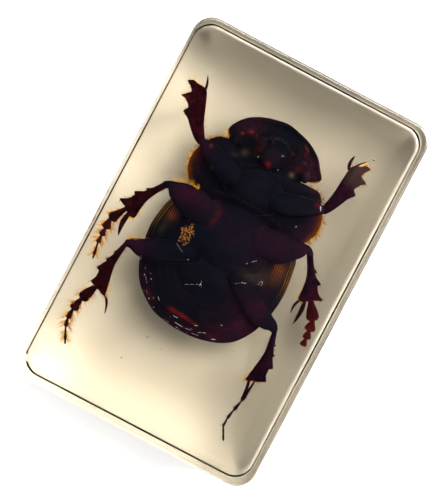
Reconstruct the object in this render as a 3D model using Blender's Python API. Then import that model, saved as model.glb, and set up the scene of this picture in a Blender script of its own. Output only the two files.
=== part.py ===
"""A dung beetle sealed belly up in a clear resin block.

Everything is written in millimetres and turned into metres when a mesh is made. The block stands on Z = 0
with its middle on the Z axis. +Y runs along the block towards the beetle's head, +X is to the right as one
looks down on the beetle's belly, and +Z is up.

The beetle is drawn at DRAWN_LENGTH from tail to head and scaled to BEETLE_LENGTH, so its outlines and joints
below are in drawn millimetres, with true heights. It is one closed body. The resin is cast around it, so the
block is parted in two halves whose pockets follow the beetle at CLEARANCE.
"""

import math
from dataclasses import dataclass

import bmesh
import bpy
import numpy as np

MM = 0.001

# Block
BLOCK_LENGTH = 63.5
BLOCK_WIDTH = 41.0
BLOCK_HEIGHT = 19.0
CORNER_RADIUS = 3.3
TOP_ROUND = 0.5
BOTTOM_ROUND = 0.6
PARTING_HEIGHT = 10.0
CLEARANCE = 0.3
ARC_STEPS = 5

# Beetle
BEETLE_LENGTH = 37.0
DRAWN_LENGTH = 35.65
BEETLE_SHIFT = (-0.2, -0.05)
SCALE = BEETLE_LENGTH / DRAWN_LENGTH
MARGIN_HEIGHT = 10.0
BACK_HEIGHT = 2.7
BELLY_SHARE = 0.92
FOOT_LEAST = 0.14
SHIN_EDGE = 0.22
SHIN_MIDDLE = 0.42

# How finely the round shapes are faceted
OUTLINE_COUNT = 32
SMALL_OUTLINE_COUNT = 16
DOME_END = math.radians(78)
LIMB_SIDES = 8
SMALL_LIMB_SIDES = 6
ROOM_FACET = math.radians(4)
MOST_CORNER_REACH = 2.5

# Outlines of the trunk, seen from the belly side, in order around
HEAD = [
    (5.9, 15.25), (6.95, 15.5), (8.0, 15.95), (8.25, 16.8), (7.5, 17.85), (6.3, 19.4), (4.2, 20.75),
    (2.1, 21.45), (0.0, 21.85), (-2.3, 21.5), (-4.3, 20.85), (-6.0, 19.85), (-7.3, 18.4), (-7.85, 17.1),
    (-7.5, 16.1), (-5.0, 13.6), (0.0, 12.8), (4.6, 13.6),
]
FORE_BODY = [
    (9.0, 14.7), (10.2, 13.2), (11.1, 11.6), (11.5, 9.7), (11.2, 8.2), (10.2, 6.6), (7.0, 5.2),
    (0.0, 4.6), (-6.6, 5.2), (-8.9, 6.6), (-10.3, 8.2), (-10.95, 9.9), (-10.75, 12.0), (-9.9, 13.9),
    (-8.8, 15.1), (-7.4, 15.65), (-4.0, 14.9), (0.0, 14.7), (4.5, 14.8), (7.2, 14.9),
]
HIND_BODY = [
    (10.6, 4.0), (11.1, 1.7), (11.4, -1.0), (11.3, -3.6), (10.8, -6.3), (9.8, -8.9), (8.1, -11.3),
    (5.9, -12.7), (3.0, -13.55), (0.0, -13.8), (-2.9, -13.5), (-5.4, -12.8), (-7.9, -11.1), (-9.5, -9.3),
    (-10.6, -7.0), (-11.3, -4.2), (-11.6, -1.5), (-11.35, 1.0), (-10.7, 3.4), (-9.2, 5.6), (-5.5, 6.8),
    (0.0, 7.2), (5.5, 6.8), (9.3, 5.6),
]
BREAST_PLATE = [
    (0.0, 7.4), (-4.6, 6.4), (-6.6, 3.2), (-6.2, -0.4), (-3.0, -2.2), (0.0, -2.8), (3.0, -2.2),
    (6.2, -0.4), (6.6, 3.2), (4.6, 6.4),
]
FORE_BREAST = [(5.5, 10.4), (0.0, 14.2), (-5.5, 10.4), (0.0, 6.6)]
MOUTH = [(3.0, 16.6), (0.0, 19.4), (-3.0, 16.6), (0.0, 13.4)]

# Outlines of the three shins: along the shin from the knee, and outwards across it
FORE_SHIN = [
    (0.4, -0.5), (2.9, -0.15), (7.4, -0.25), (8.35, 0.3), (8.8, 1.2), (9.3, 1.8), (9.15, 2.8), (8.2, 2.3),
    (7.5, 2.25), (6.9, 3.6), (6.4, 3.0), (5.2, 2.4), (4.5, 3.15), (3.4, 2.4), (1.8, 1.8), (0.5, 1.2),
    (-0.4, 0.45),
]
MID_SHIN = [
    (0.0, -0.5), (1.8, -0.2), (3.6, -0.15), (5.1, -0.5), (6.7, -1.0), (7.15, -0.5), (7.15, 0.0),
    (6.95, 0.9), (6.7, 1.55), (6.75, 2.75), (5.7, 2.0), (4.6, 1.75), (4.2, 2.2), (3.2, 1.4), (2.0, 0.95),
    (0.0, 0.53),
]
HIND_SHIN = [
    (0.6, -0.15), (2.2, -0.04), (3.6, 0.0), (5.0, -0.2), (6.6, -0.6), (8.1, -0.95), (8.75, -1.1),
    (8.75, -0.4), (8.4, 0.2), (8.35, 0.8), (8.1, 1.35), (7.8, 2.0), (6.9, 1.65), (5.85, 1.7), (5.5, 2.2),
    (3.5, 1.4), (2.0, 1.0), (0.3, 0.55), (-0.7, 0.15),
]


# Sections along a limb: where along it, then how wide and deep as a share of its size
SPIKE_TAPER = ((0.0, 1.0), (0.5, 0.85), (1.0, 0.3))
FOOT_WEDGE = ((-0.1, 0.42, 0.42), (0.72, 1.0, 0.55), (1.0, 0.7, 0.4))

# Sections of the rib in a shin: where along it, how far across it, and its radius
SHIN_RIB = ((-0.03, 0.0, 0.5), (0.3, 0.35, 0.55), (0.62, 0.45, 0.65), (0.86, 0.4, 0.6))


@dataclass
class Leg:
    """One leg, from hip to foot, in drawn millimetres.

    thigh holds (x, y, z, half width, half depth) stations. The shin outline is laid from knee to ankle, and
    turn tips it about its own length, in degrees. foot holds the ends of the foot joints and foot_widths half
    the width of each. spurs holds (base, tip, radius) for each. side is -1 on the left and 1 on the right.
    """

    name: str
    side: int
    thigh: list
    shin: list
    knee: tuple
    ankle: tuple
    turn: float = 0.0
    foot: tuple = ()
    foot_widths: tuple = ()
    spurs: tuple = ()


LEGS = [
    Leg(
        "fore_left", -1,
        thigh=[(-3.6, 10.4, 12.7, 1.6, 1.1), (-7.0, 11.8, 12.5, 1.7, 1.1), (-9.4, 12.9, 12.0, 1.1, 0.8),
               (-10.5, 13.3, 11.6, 0.6, 0.55)],
        shin=FORE_SHIN, knee=(-10.55, 13.2, 11.6), ankle=(-13.7, 20.5, 12.0),
        spurs=[((-13.7, 19.9, 12.0), (-14.47, 22.62, 12.4), 0.18)],
    ),
    Leg(
        "fore_right", 1,
        thigh=[(3.6, 10.2, 12.7, 1.6, 1.1), (7.0, 11.3, 12.5, 1.7, 1.1), (9.5, 12.3, 12.0, 1.1, 0.8),
               (10.6, 12.6, 11.6, 0.6, 0.55)],
        shin=FORE_SHIN, knee=(10.6, 12.6, 11.6), ankle=(11.5, 20.9, 12.6), turn=24,
        spurs=[((11.1, 19.9, 12.5), (10.92, 22.45, 12.9), 0.26),
               ((11.7, 20.7, 12.6), (13.34, 22.14, 12.9), 0.14)],
    ),
    Leg(
        "mid_left", -1,
        thigh=[(-3.4, 3.3, 13.2, 2.0, 1.2), (-7.4, 4.4, 13.1, 2.3, 1.15), (-10.2, 4.9, 12.8, 1.6, 0.9),
               (-11.6, 5.2, 12.5, 0.75, 0.65), (-12.4, 4.95, 12.2, 0.55, 0.5)],
        shin=MID_SHIN, knee=(-12.4, 4.8, 12.2), ankle=(-15.1, -1.3, 11.2),
        foot=[(-15.9, -0.9, 11.2), (-17.4, -3.5, 11.0), (-17.4, -5.1, 10.9), (-17.42, -6.35, 10.8),
              (-17.4, -7.6, 10.7), (-17.06, -9.55, 10.6)],
        foot_widths=(0.82, 0.7, 0.45, 0.33, 0.2),
        spurs=[((-15.2, -1.6, 11.2), (-14.9, -5.2, 10.9), 0.3)],
    ),
    Leg(
        "mid_right", 1,
        thigh=[(3.4, 3.5, 13.2, 2.0, 1.2), (7.4, 4.6, 13.1, 2.6, 1.15), (10.0, 5.6, 12.8, 1.5, 0.9),
               (11.3, 6.15, 12.5, 0.7, 0.65), (12.0, 5.8, 12.2, 0.5, 0.5)],
        shin=MID_SHIN, knee=(12.0, 5.6, 12.2), ankle=(14.5, -0.8, 11.2),
        foot=[(15.4, -0.4, 11.2), (17.1, -2.95, 11.0), (17.3, -4.55, 10.9), (17.45, -5.85, 10.8),
              (17.5, -7.05, 10.7)],
        foot_widths=(0.95, 0.76, 0.55, 0.45),
        spurs=[((14.8, -0.8, 11.2), (15.0, -4.7, 10.9), 0.24),
               ((14.0, -0.9, 11.2), (13.97, -3.5, 10.9), 0.14)],
    ),
    Leg(
        "hind_left", -1,
        thigh=[(-3.6, -2.4, 12.8, 1.4, 1.1), (-7.6, -4.0, 12.7, 1.8, 1.1), (-10.8, -5.1, 12.3, 1.5, 0.9),
               (-12.5, -5.3, 11.9, 0.95, 0.7), (-13.35, -5.6, 11.6, 0.6, 0.5)],
        shin=HIND_SHIN, knee=(-13.35, -5.6, 11.6), ankle=(-13.7, -14.0, 10.8),
        foot=[(-14.5, -13.5, 10.8), (-15.65, -16.4, 10.7), (-16.05, -18.4, 10.6), (-16.1, -19.95, 10.5),
              (-15.8, -21.2, 10.4), (-14.9, -23.1, 10.3)],
        foot_widths=(0.8, 0.6, 0.4, 0.28, 0.18),
        spurs=[((-13.1, -13.9, 10.8), (-11.5, -16.9, 10.5), 0.17)],
    ),
    Leg(
        "hind_right", 1,
        thigh=[(3.6, -2.6, 12.8, 1.4, 1.1), (7.4, -4.9, 12.7, 1.8, 1.1), (10.4, -6.2, 12.3, 1.4, 0.9),
               (11.8, -6.5, 11.9, 0.95, 0.7), (12.5, -6.9, 11.6, 0.6, 0.5)],
        shin=HIND_SHIN, knee=(12.5, -6.9, 11.6), ankle=(13.2, -15.4, 10.8), turn=10,
        foot=[(13.6, -15.0, 10.8), (13.2, -18.8, 10.7), (12.8, -20.5, 10.6), (12.5, -22.1, 10.5),
              (12.5, -23.5, 10.4), (13.3, -25.0, 10.3)],
        foot_widths=(0.3, 0.28, 0.24, 0.2, 0.15),
        spurs=[((12.5, -14.9, 10.8), (12.9, -18.8, 10.5), 0.22)],
    ),
]


def clear_scene():
    for obj in list(bpy.data.objects):
        bpy.data.objects.remove(obj)


def material(name, colour, roughness, transmission=0.0, alpha=1.0):
    """A plain principled surface."""
    made = bpy.data.materials.new(name)
    made.use_nodes = True
    made.diffuse_color = (*colour, alpha)
    surface = made.node_tree.nodes["Principled BSDF"]
    surface.inputs["Base Color"].default_value = (*colour, 1.0)
    surface.inputs["Roughness"].default_value = roughness
    surface.inputs["Metallic"].default_value = 0.0
    surface.inputs["Transmission Weight"].default_value = transmission
    surface.inputs["IOR"].default_value = 1.5
    return made


def mesh_object(name, mesh):
    obj = bpy.data.objects.new(name, mesh)
    bpy.context.scene.collection.objects.link(obj)
    return obj


def skin(name, rings):
    """A closed body through rings of equally many points, each end closed by its ring's own face."""
    rings = np.asarray(rings, dtype=float) * MM
    count, sides = rings.shape[:2]
    corner = np.arange(count * sides).reshape(count, sides)
    turned = np.roll(corner, -1, axis=1)
    walls = np.stack([corner[:-1], turned[:-1], turned[1:], corner[1:]], axis=-1).reshape(-1, 4)
    mesh = bpy.data.meshes.new(name)
    caps = [corner[0][::-1].tolist(), corner[-1].tolist()]
    mesh.from_pydata(rings.reshape(-1, 3).tolist(), [], walls.tolist() + caps)
    shape = bmesh.new()
    shape.from_mesh(mesh)
    bmesh.ops.recalc_face_normals(shape, faces=shape.faces)
    shape.to_mesh(mesh)
    shape.free()
    return mesh_object(name, mesh)


def placed(points):
    """Drawn points scaled and shifted to where the beetle lies. Heights are true already."""
    points = np.array(points, dtype=float)
    points[..., :2] = points[..., :2] * SCALE + BEETLE_SHIFT
    return points


def smooth_outline(points, count):
    """A closed curve through the points: cubics whose slope at each point is that of its neighbours."""
    points = np.asarray(points, dtype=float)
    place = np.arange(count) * len(points) / count
    index = place.astype(int)
    t = (place - index)[:, None]
    before, here, after, beyond = (points[(index + step) % len(points)] for step in (-1, 0, 1, 2))
    slope_here, slope_after = (after - before) / 2, (beyond - here) / 2
    return (
        here * (2 * t**3 - 3 * t**2 + 1) + slope_here * (t**3 - 2 * t**2 + t)
        + after * (3 * t**2 - 2 * t**3) + slope_after * (t**3 - t**2)
    )


def dome(name, outline, margin, rise, drop, count=OUTLINE_COUNT, steps_up=3, steps_down=4, crest=(0.0, 0.0)):
    """A lens over an outline: it domes up from its margin by rise and down by drop. crest shifts the tops."""
    flat = smooth_outline(outline, count)
    middle = flat.mean(axis=0)
    rings = []
    for height, steps in ((-drop, steps_down), (rise, steps_up)):
        angles = np.linspace(0, DOME_END, steps + 1)
        if height < 0:
            angles = angles[:0:-1]
        for angle in angles:
            share = math.cos(angle)
            ring = middle + (flat - middle) * share + np.array(crest) * (1 - share)
            rings.append(np.column_stack([ring, np.full(len(ring), margin + height * math.sin(angle))]))
    return skin(name, placed(rings))


def limb(name, stations, sides=LIMB_SIDES):
    """A tube of oval sections through (x, y, z, half width, half depth) stations, its width level."""
    stations = np.asarray(stations, dtype=float)
    path = stations[:, :3]
    along = np.gradient(path, axis=0)
    along /= np.linalg.norm(along, axis=1, keepdims=True)
    across = np.cross(along, (0.0, 0.0, 1.0))
    across /= np.linalg.norm(across, axis=1, keepdims=True)
    up = np.cross(across, along)
    turn = np.arange(sides) * 2 * math.pi / sides
    rings = (
        path[:, None]
        + across[:, None] * (stations[:, 3, None] * np.cos(turn))[..., None]
        + up[:, None] * (stations[:, 4, None] * np.sin(turn))[..., None]
    )
    return skin(name, placed(rings))


def spike(name, base, tip, radius):
    """A blunt spine that tapers from base to tip."""
    base, tip = np.array(base), np.array(tip)
    stations = [(*(base + (tip - base) * share), radius * left, radius * left) for share, left in SPIKE_TAPER]
    return limb(name, stations, SMALL_LIMB_SIDES)


def shin_frame(leg):
    """The shin's own axes: along it, across it away from the body, and square to both."""
    along = np.subtract(leg.ankle, leg.knee)
    along /= np.linalg.norm(along)
    level = np.cross((0.0, 0.0, 1.0), along)
    level *= leg.side * np.sign(level[0]) / np.linalg.norm(level)
    square = np.cross(along, level)
    turn = math.radians(leg.turn)
    across = level * math.cos(turn) + square * math.sin(turn)
    return along, across, np.cross(along, across)


def shin(leg):
    """A toothed blade, thick along its inner side and thin at its teeth, with a rounded rib inside it."""
    along, across, square = shin_frame(leg)
    outline = np.array(leg.shin)
    length, widest = outline.max(axis=0)
    flat = leg.knee + outline[:, :1] * along + outline[:, 1:] * across
    thickness = SHIN_MIDDLE + (SHIN_EDGE - SHIN_MIDDLE) * np.clip(outline[:, 1:] / widest, 0, 1)
    blade = skin(leg.name + "_blade", placed([flat - square * thickness, flat + square * thickness]))
    rib = [
        (*(leg.knee + along * length * share + across * offset), radius, radius)
        for share, offset, radius in SHIN_RIB
    ]
    return [blade, limb(leg.name + "_rib", rib)]


def foot(leg):
    """Foot joints, each a flat wedge that widens towards its far end and starts inside the one before."""
    joints = []
    stretches = zip(leg.foot[:-1], leg.foot[1:], leg.foot_widths)
    for number, (start, end, width) in enumerate(stretches, start=1):
        start, end = np.array(start), np.array(end)
        stations = [
            (*(start + (end - start) * share), max(width * wide, FOOT_LEAST), max(width * deep, FOOT_LEAST))
            for share, wide, deep in FOOT_WEDGE
        ]
        joints.append(limb(f"{leg.name}_foot_{number}", stations, SMALL_LIMB_SIDES))
    return joints


def leg_stretches(leg):
    """The leg's shapes in three lists: its thigh, its shin with the spurs, and its foot joints."""
    thigh = limb(leg.name + "_thigh", leg.thigh)
    spurs = [spike(f"{leg.name}_spur_{number}", *spur) for number, spur in enumerate(leg.spurs, start=1)]
    return [stretch for stretch in ([thigh], [*shin(leg), *spurs], foot(leg)) if stretch]


def trunk_shapes():
    """Wing cases, belly, breast, fore body and head, each a dome over its outline."""
    back = MARGIN_HEIGHT - BACK_HEIGHT
    belly = np.array(HIND_BODY) * BELLY_SHARE
    small = {"count": SMALL_OUTLINE_COUNT, "steps_down": 1}
    return [
        dome("wing_cases", HIND_BODY, MARGIN_HEIGHT, rise=0.9, drop=back, steps_up=1, crest=(0.0, 0.6)),
        dome("belly", belly, MARGIN_HEIGHT + 0.4, rise=2.8, drop=2.0, steps_down=1, crest=(0.0, 1.5)),
        dome("breast_plate", BREAST_PLATE, MARGIN_HEIGHT + 2.4, rise=2.2, drop=3.0, **small),
        dome("fore_body", FORE_BODY, MARGIN_HEIGHT, rise=1.6, drop=back - 0.4),
        dome("fore_breast", FORE_BREAST, MARGIN_HEIGHT + 1.4, rise=2.3, drop=3.0, **small),
        dome("head", HEAD, MARGIN_HEIGHT - 0.6, rise=0.9, drop=2.4, steps_down=3, crest=(0.0, -1.6)),
        dome("mouth", MOUTH, MARGIN_HEIGHT, rise=1.9, drop=1.0, **small),
    ]


def beetle_stretches():
    """Every shape of the beetle, in lists of shapes that share one room in the resin."""
    stretches = [[shape] for shape in trunk_shapes()]
    for leg in LEGS:
        stretches += leg_stretches(leg)
    return stretches


def jacket(shapes):
    """The hull of some shapes, grown by the clearance: the room that the resin leaves around them."""
    hull = bmesh.new()
    for shape in shapes:
        for vert in shape.data.vertices:
            hull.verts.new(vert.co)
    made = bmesh.ops.convex_hull(hull, input=hull.verts)
    bmesh.ops.delete(hull, geom=made["geom_interior"], context="VERTS")
    bmesh.ops.dissolve_limit(hull, angle_limit=ROOM_FACET, verts=hull.verts, edges=hull.edges)
    bmesh.ops.triangulate(hull, faces=hull.faces)
    bmesh.ops.recalc_face_normals(hull, faces=hull.faces)
    hull.normal_update()
    reach = [min(vert.calc_shell_factor(), MOST_CORNER_REACH) * CLEARANCE * MM for vert in hull.verts]
    outward = [vert.normal.copy() for vert in hull.verts]
    for vert, far, direction in zip(hull.verts, reach, outward):
        vert.co += direction * far
    mesh = bpy.data.meshes.new(shapes[0].name + "_room")
    hull.to_mesh(mesh)
    hull.free()
    return mesh_object(mesh.name, mesh)


def fused(name, shapes):
    """One closed body from overlapping shapes, which are used up."""
    first, *others = shapes
    for other in others:
        union = first.modifiers.new(other.name, "BOOLEAN")
        union.operation = "UNION"
        union.object = other
        union.solver = "EXACT"
    graph = bpy.context.evaluated_depsgraph_get()
    mesh = bpy.data.meshes.new_from_object(first.evaluated_get(graph))
    mesh.name = name
    for shape in shapes:
        bpy.data.objects.remove(shape)
    return mesh_object(name, mesh)


def rounded_rectangle(half_width, half_length, radius):
    """Points around a rectangle with round corners, anticlockwise from the +X side."""
    points = []
    for quarter, (x, y) in enumerate(((1, 1), (-1, 1), (-1, -1), (1, -1))):
        angles = np.radians(np.linspace(0, 90, ARC_STEPS + 1) + quarter * 90)
        centre = np.array([x * (half_width - radius), y * (half_length - radius)])
        points.append(centre + radius * np.column_stack([np.cos(angles), np.sin(angles)]))
    return np.concatenate(points)


def block_ring(inset, height):
    """The block's outline drawn in by inset, at a height."""
    flat = rounded_rectangle(BLOCK_WIDTH / 2 - inset, BLOCK_LENGTH / 2 - inset, CORNER_RADIUS - inset)
    return np.column_stack([flat, np.full(len(flat), height)])


def edge_round(radius, edge_height, upward):
    """Rings of a quarter round between a wall and a level face. upward is 1 at the top, -1 at the bottom."""
    rings = []
    for angle in np.radians(np.linspace(0, 90, ARC_STEPS + 1)):
        inset = radius * (1 - math.cos(angle))
        rings.append(block_ring(inset, edge_height - upward * radius * (1 - math.sin(angle))))
    return rings


def resin_half(name, rings, room, look):
    """One half of the block with the beetle's room cut out of it."""
    half = skin(name, rings)
    cut = half.modifiers.new("room", "BOOLEAN")
    cut.operation = "DIFFERENCE"
    cut.object = room
    cut.solver = "EXACT"
    half.data.materials.append(look)
    return half


def main():
    clear_scene()
    shell = material("beetle_shell", (0.016, 0.011, 0.013), roughness=0.3)
    resin = material("clear_resin", (0.95, 0.92, 0.82), roughness=0.03, transmission=1.0, alpha=0.35)

    stretches = beetle_stretches()
    room = fused("beetle_room", [jacket(shapes) for shapes in stretches])
    room.hide_render = True
    room.display_type = "WIRE"
    beetle = fused("beetle", sum(stretches, []))
    beetle.data.materials.append(shell)
    beetle.data.shade_smooth()
    beetle.data.set_sharp_from_angle(angle=math.radians(40))

    upper_face = PARTING_HEIGHT + CLEARANCE / 2
    lower_face = PARTING_HEIGHT - CLEARANCE / 2
    top = [block_ring(0, upper_face), *edge_round(TOP_ROUND, BLOCK_HEIGHT, 1)]
    bottom = [*edge_round(BOTTOM_ROUND, 0.0, -1)[::-1], block_ring(0, lower_face)]
    resin_half("resin_upper", top, room, resin)
    resin_half("resin_lower", bottom, room, resin)


if __name__ == "__main__":
    main()
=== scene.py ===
"""The looks of a dung beetle sealed belly up in a clear resin block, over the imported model.

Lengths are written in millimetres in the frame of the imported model: the block stands on Z = 0, +Y runs
towards the beetle's head, and +X is to the right as one looks down on its belly. The beetle is drawn at
DRAWN_LENGTH from tail to head with true heights, and placed() scales that drawing to BEETLE_LENGTH. A shape
is a grid of points worked out as whole arrays, and it becomes metres when its mesh is made.
"""

import logging
import math
from dataclasses import dataclass, field, replace
from enum import Enum

import bpy
import numpy as np
from mathutils import Matrix, Vector
from mathutils.bvhtree import BVHTree


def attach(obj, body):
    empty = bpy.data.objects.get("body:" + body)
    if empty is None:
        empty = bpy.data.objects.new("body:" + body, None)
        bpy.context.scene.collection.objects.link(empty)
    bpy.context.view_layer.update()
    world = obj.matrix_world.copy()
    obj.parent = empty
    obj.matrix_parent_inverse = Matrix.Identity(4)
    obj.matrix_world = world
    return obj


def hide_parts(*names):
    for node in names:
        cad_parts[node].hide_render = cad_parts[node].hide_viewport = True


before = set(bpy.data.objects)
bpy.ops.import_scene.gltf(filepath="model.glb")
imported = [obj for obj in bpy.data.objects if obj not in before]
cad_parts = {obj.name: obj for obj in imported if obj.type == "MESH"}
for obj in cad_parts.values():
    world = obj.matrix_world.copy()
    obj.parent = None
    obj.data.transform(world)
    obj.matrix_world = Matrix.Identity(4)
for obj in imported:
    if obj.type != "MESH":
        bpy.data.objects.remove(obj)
LOG = logging.getLogger("resin_block")

Array = np.ndarray
Material = bpy.types.Material
Socket = bpy.types.NodeSocket
Points = Array | list | tuple
UP = np.array([0.0, 0.0, 1.0])

MM = 0.001
HAIR_SEED = 7
TUFT_SEED = 407
FILM_SEED = 507

# Block
BLOCK_LENGTH = 63.5
BLOCK_WIDTH = 41.0
BLOCK_HEIGHT = 19.0

# Beetle
BEETLE_LENGTH = 37.0
DRAWN_LENGTH = 35.65
BEETLE_SHIFT = (-0.2, -0.05)
SCALE = BEETLE_LENGTH / DRAWN_LENGTH
MARGIN_HEIGHT = 10.0
BACK_HEIGHT = 2.7
BELLY_SHARE = 0.92
OUTLINE_POINTS = 720
# Heights between which the marks fade in, from the back to the belly side
MARKS_START = MARGIN_HEIGHT - 1.3
MARKS_FULL = MARGIN_HEIGHT - 0.5

# Outlines of the trunk, seen from the belly side, in order around
HEAD = [
    (5.9, 15.25), (6.95, 15.5), (8.0, 15.95), (8.25, 16.8), (7.5, 17.85), (6.3, 19.4), (4.2, 20.75),
    (2.1, 21.45), (0.0, 21.85), (-2.3, 21.5), (-4.3, 20.85), (-6.0, 19.85), (-7.3, 18.4), (-7.85, 17.1),
    (-7.5, 16.1), (-5.0, 13.6), (0.0, 12.8), (4.6, 13.6),
]
FORE_BODY = [
    (9.0, 14.7), (10.2, 13.2), (11.1, 11.6), (11.5, 9.7), (11.2, 8.2), (10.2, 6.6), (7.0, 5.2),
    (0.0, 4.6), (-6.6, 5.2), (-8.9, 6.6), (-10.3, 8.2), (-10.95, 9.9), (-10.75, 12.0), (-9.9, 13.9),
    (-8.8, 15.1), (-7.4, 15.65), (-4.0, 14.9), (0.0, 14.7), (4.5, 14.8), (7.2, 14.9),
]
HIND_BODY = [
    (10.6, 4.0), (11.1, 1.7), (11.4, -1.0), (11.3, -3.6), (10.8, -6.3), (9.8, -8.9), (8.1, -11.3),
    (5.9, -12.7), (3.0, -13.55), (0.0, -13.8), (-2.9, -13.5), (-5.4, -12.8), (-7.9, -11.1), (-9.5, -9.3),
    (-10.6, -7.0), (-11.3, -4.2), (-11.6, -1.5), (-11.35, 1.0), (-10.7, 3.4), (-9.2, 5.6), (-5.5, 6.8),
    (0.0, 7.2), (5.5, 6.8), (9.3, 5.6),
]
BREAST_PLATE = [
    (0.0, 7.4), (-4.6, 6.4), (-6.6, 3.2), (-6.2, -0.4), (-3.0, -2.2), (0.0, -2.8), (3.0, -2.2),
    (6.2, -0.4), (6.6, 3.2), (4.6, 6.4),
]
FORE_BREAST = [(5.5, 10.4), (0.0, 14.2), (-5.5, 10.4), (0.0, 6.6)]
MOUTH = [(3.0, 16.6), (0.0, 19.4), (-3.0, 16.6), (0.0, 13.4)]

# Edges of the three shins from knee to tip: along the shin, and outwards across it
FORE_SHIN_INNER = [(0.4, -0.5), (2.9, -0.15), (7.4, -0.25), (8.35, 0.3), (8.8, 1.2), (9.3, 1.8)]
FORE_SHIN_OUTER = [
    (-0.4, 0.45), (0.5, 1.2), (1.8, 1.8), (3.4, 2.4), (4.5, 3.15), (5.2, 2.4), (6.4, 3.0), (6.9, 3.6),
    (7.5, 2.25), (8.2, 2.3), (9.15, 2.8), (9.3, 1.9),
]
MID_SHIN_INNER = [(0.0, -0.5), (1.8, -0.2), (3.6, -0.15), (5.1, -0.5), (6.7, -1.0), (7.15, -0.5)]
MID_SHIN_OUTER = [
    (0.0, 0.53), (1.7, 0.9), (2.5, 1.45), (2.65, 1.15), (3.2, 1.4), (4.2, 2.2), (4.6, 1.75), (5.7, 2.0),
    (6.75, 2.75), (6.75, 1.55), (6.95, 0.9), (7.15, 0.0), (7.17, -0.4),
]
HIND_SHIN_INNER = [
    (0.6, -0.15), (2.2, -0.04), (3.6, 0.0), (5.0, -0.2), (6.6, -0.6), (8.1, -0.95), (8.75, -1.1),
]
HIND_SHIN_OUTER = [
    (-0.7, 0.15), (0.3, 0.55), (1.7, 0.9), (2.2, 1.25), (2.35, 1.0), (3.3, 1.35), (3.75, 1.75), (3.9, 1.45),
    (5.5, 2.2), (5.85, 1.7), (6.9, 1.65), (7.8, 2.0), (8.1, 1.35), (8.35, 0.8), (8.4, 0.2), (8.75, -0.4),
    (8.77, -0.95),
]

# Sections along a joint: where along it, then how wide and deep as a share of its size
FOOT_JOINT = ((-0.1, 0.32, 0.4), (0.3, 0.55, 0.5), (0.65, 0.85, 0.55), (0.9, 1.12, 0.5), (0.97, 0.8, 0.42))
ROUND_JOINT = ((-0.1, 0.35, 0.4), (0.2, 0.6, 0.5), (0.5, 0.9, 0.55), (0.82, 1.08, 0.5), (0.95, 0.85, 0.42))
PALP_JOINT = ((0.0, 0.55, 0.55), (0.35, 0.85, 0.85), (0.75, 1.0, 1.0), (0.95, 0.8, 0.8))
# Where along a spur, and its radius there as a share of its greatest
SPUR_TAPER = ((0.0, 0.75), (0.25, 1.0), (0.5, 0.95), (0.8, 0.55), (0.97, 0.14))
# How far along, aside and up a claw's stations lie, and their half widths and half depths
CLAW = ((0.0, 0.0, 0.0, 0.13, 0.12), (0.3, 0.08, 0.05, 0.09, 0.09), (0.65, 0.05, -0.14, 0.03, 0.03))

# Height of the shell between its pits, the leathery noise included, where the pits reach down to 0
PIT_TOP = 1.3


class Coat(Enum):
    """A kind of hair. Its value names the piece that holds all the hairs of that kind."""

    DOWN = "golden_hairs"
    LONG = "long_hairs"
    DARK = "dark_hairs"


class Value(Enum):
    """What a skin knows at each point of its surface.

    THIN is how much light the shell lets through, which the shell's finish paints in as an amber glow.
    PALE, RUDDY and PURPLE are how far it is bleached, reddened or purple, and STREAK is where the point lies
    across a streaked edge.
    """

    THIN = "thin"
    PALE = "pale"
    RUDDY = "ruddy"
    PURPLE = "purple"
    STREAK = "streak"


VALUES = tuple(value.value for value in Value)


@dataclass(frozen=True)
class Mark:
    """A soft spot on the belly side: its place, half sizes and turn in degrees, and its strength."""

    x: float
    y: float
    wide: float
    long: float
    turn: float = 0.0
    strength: float = 1.0


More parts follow.
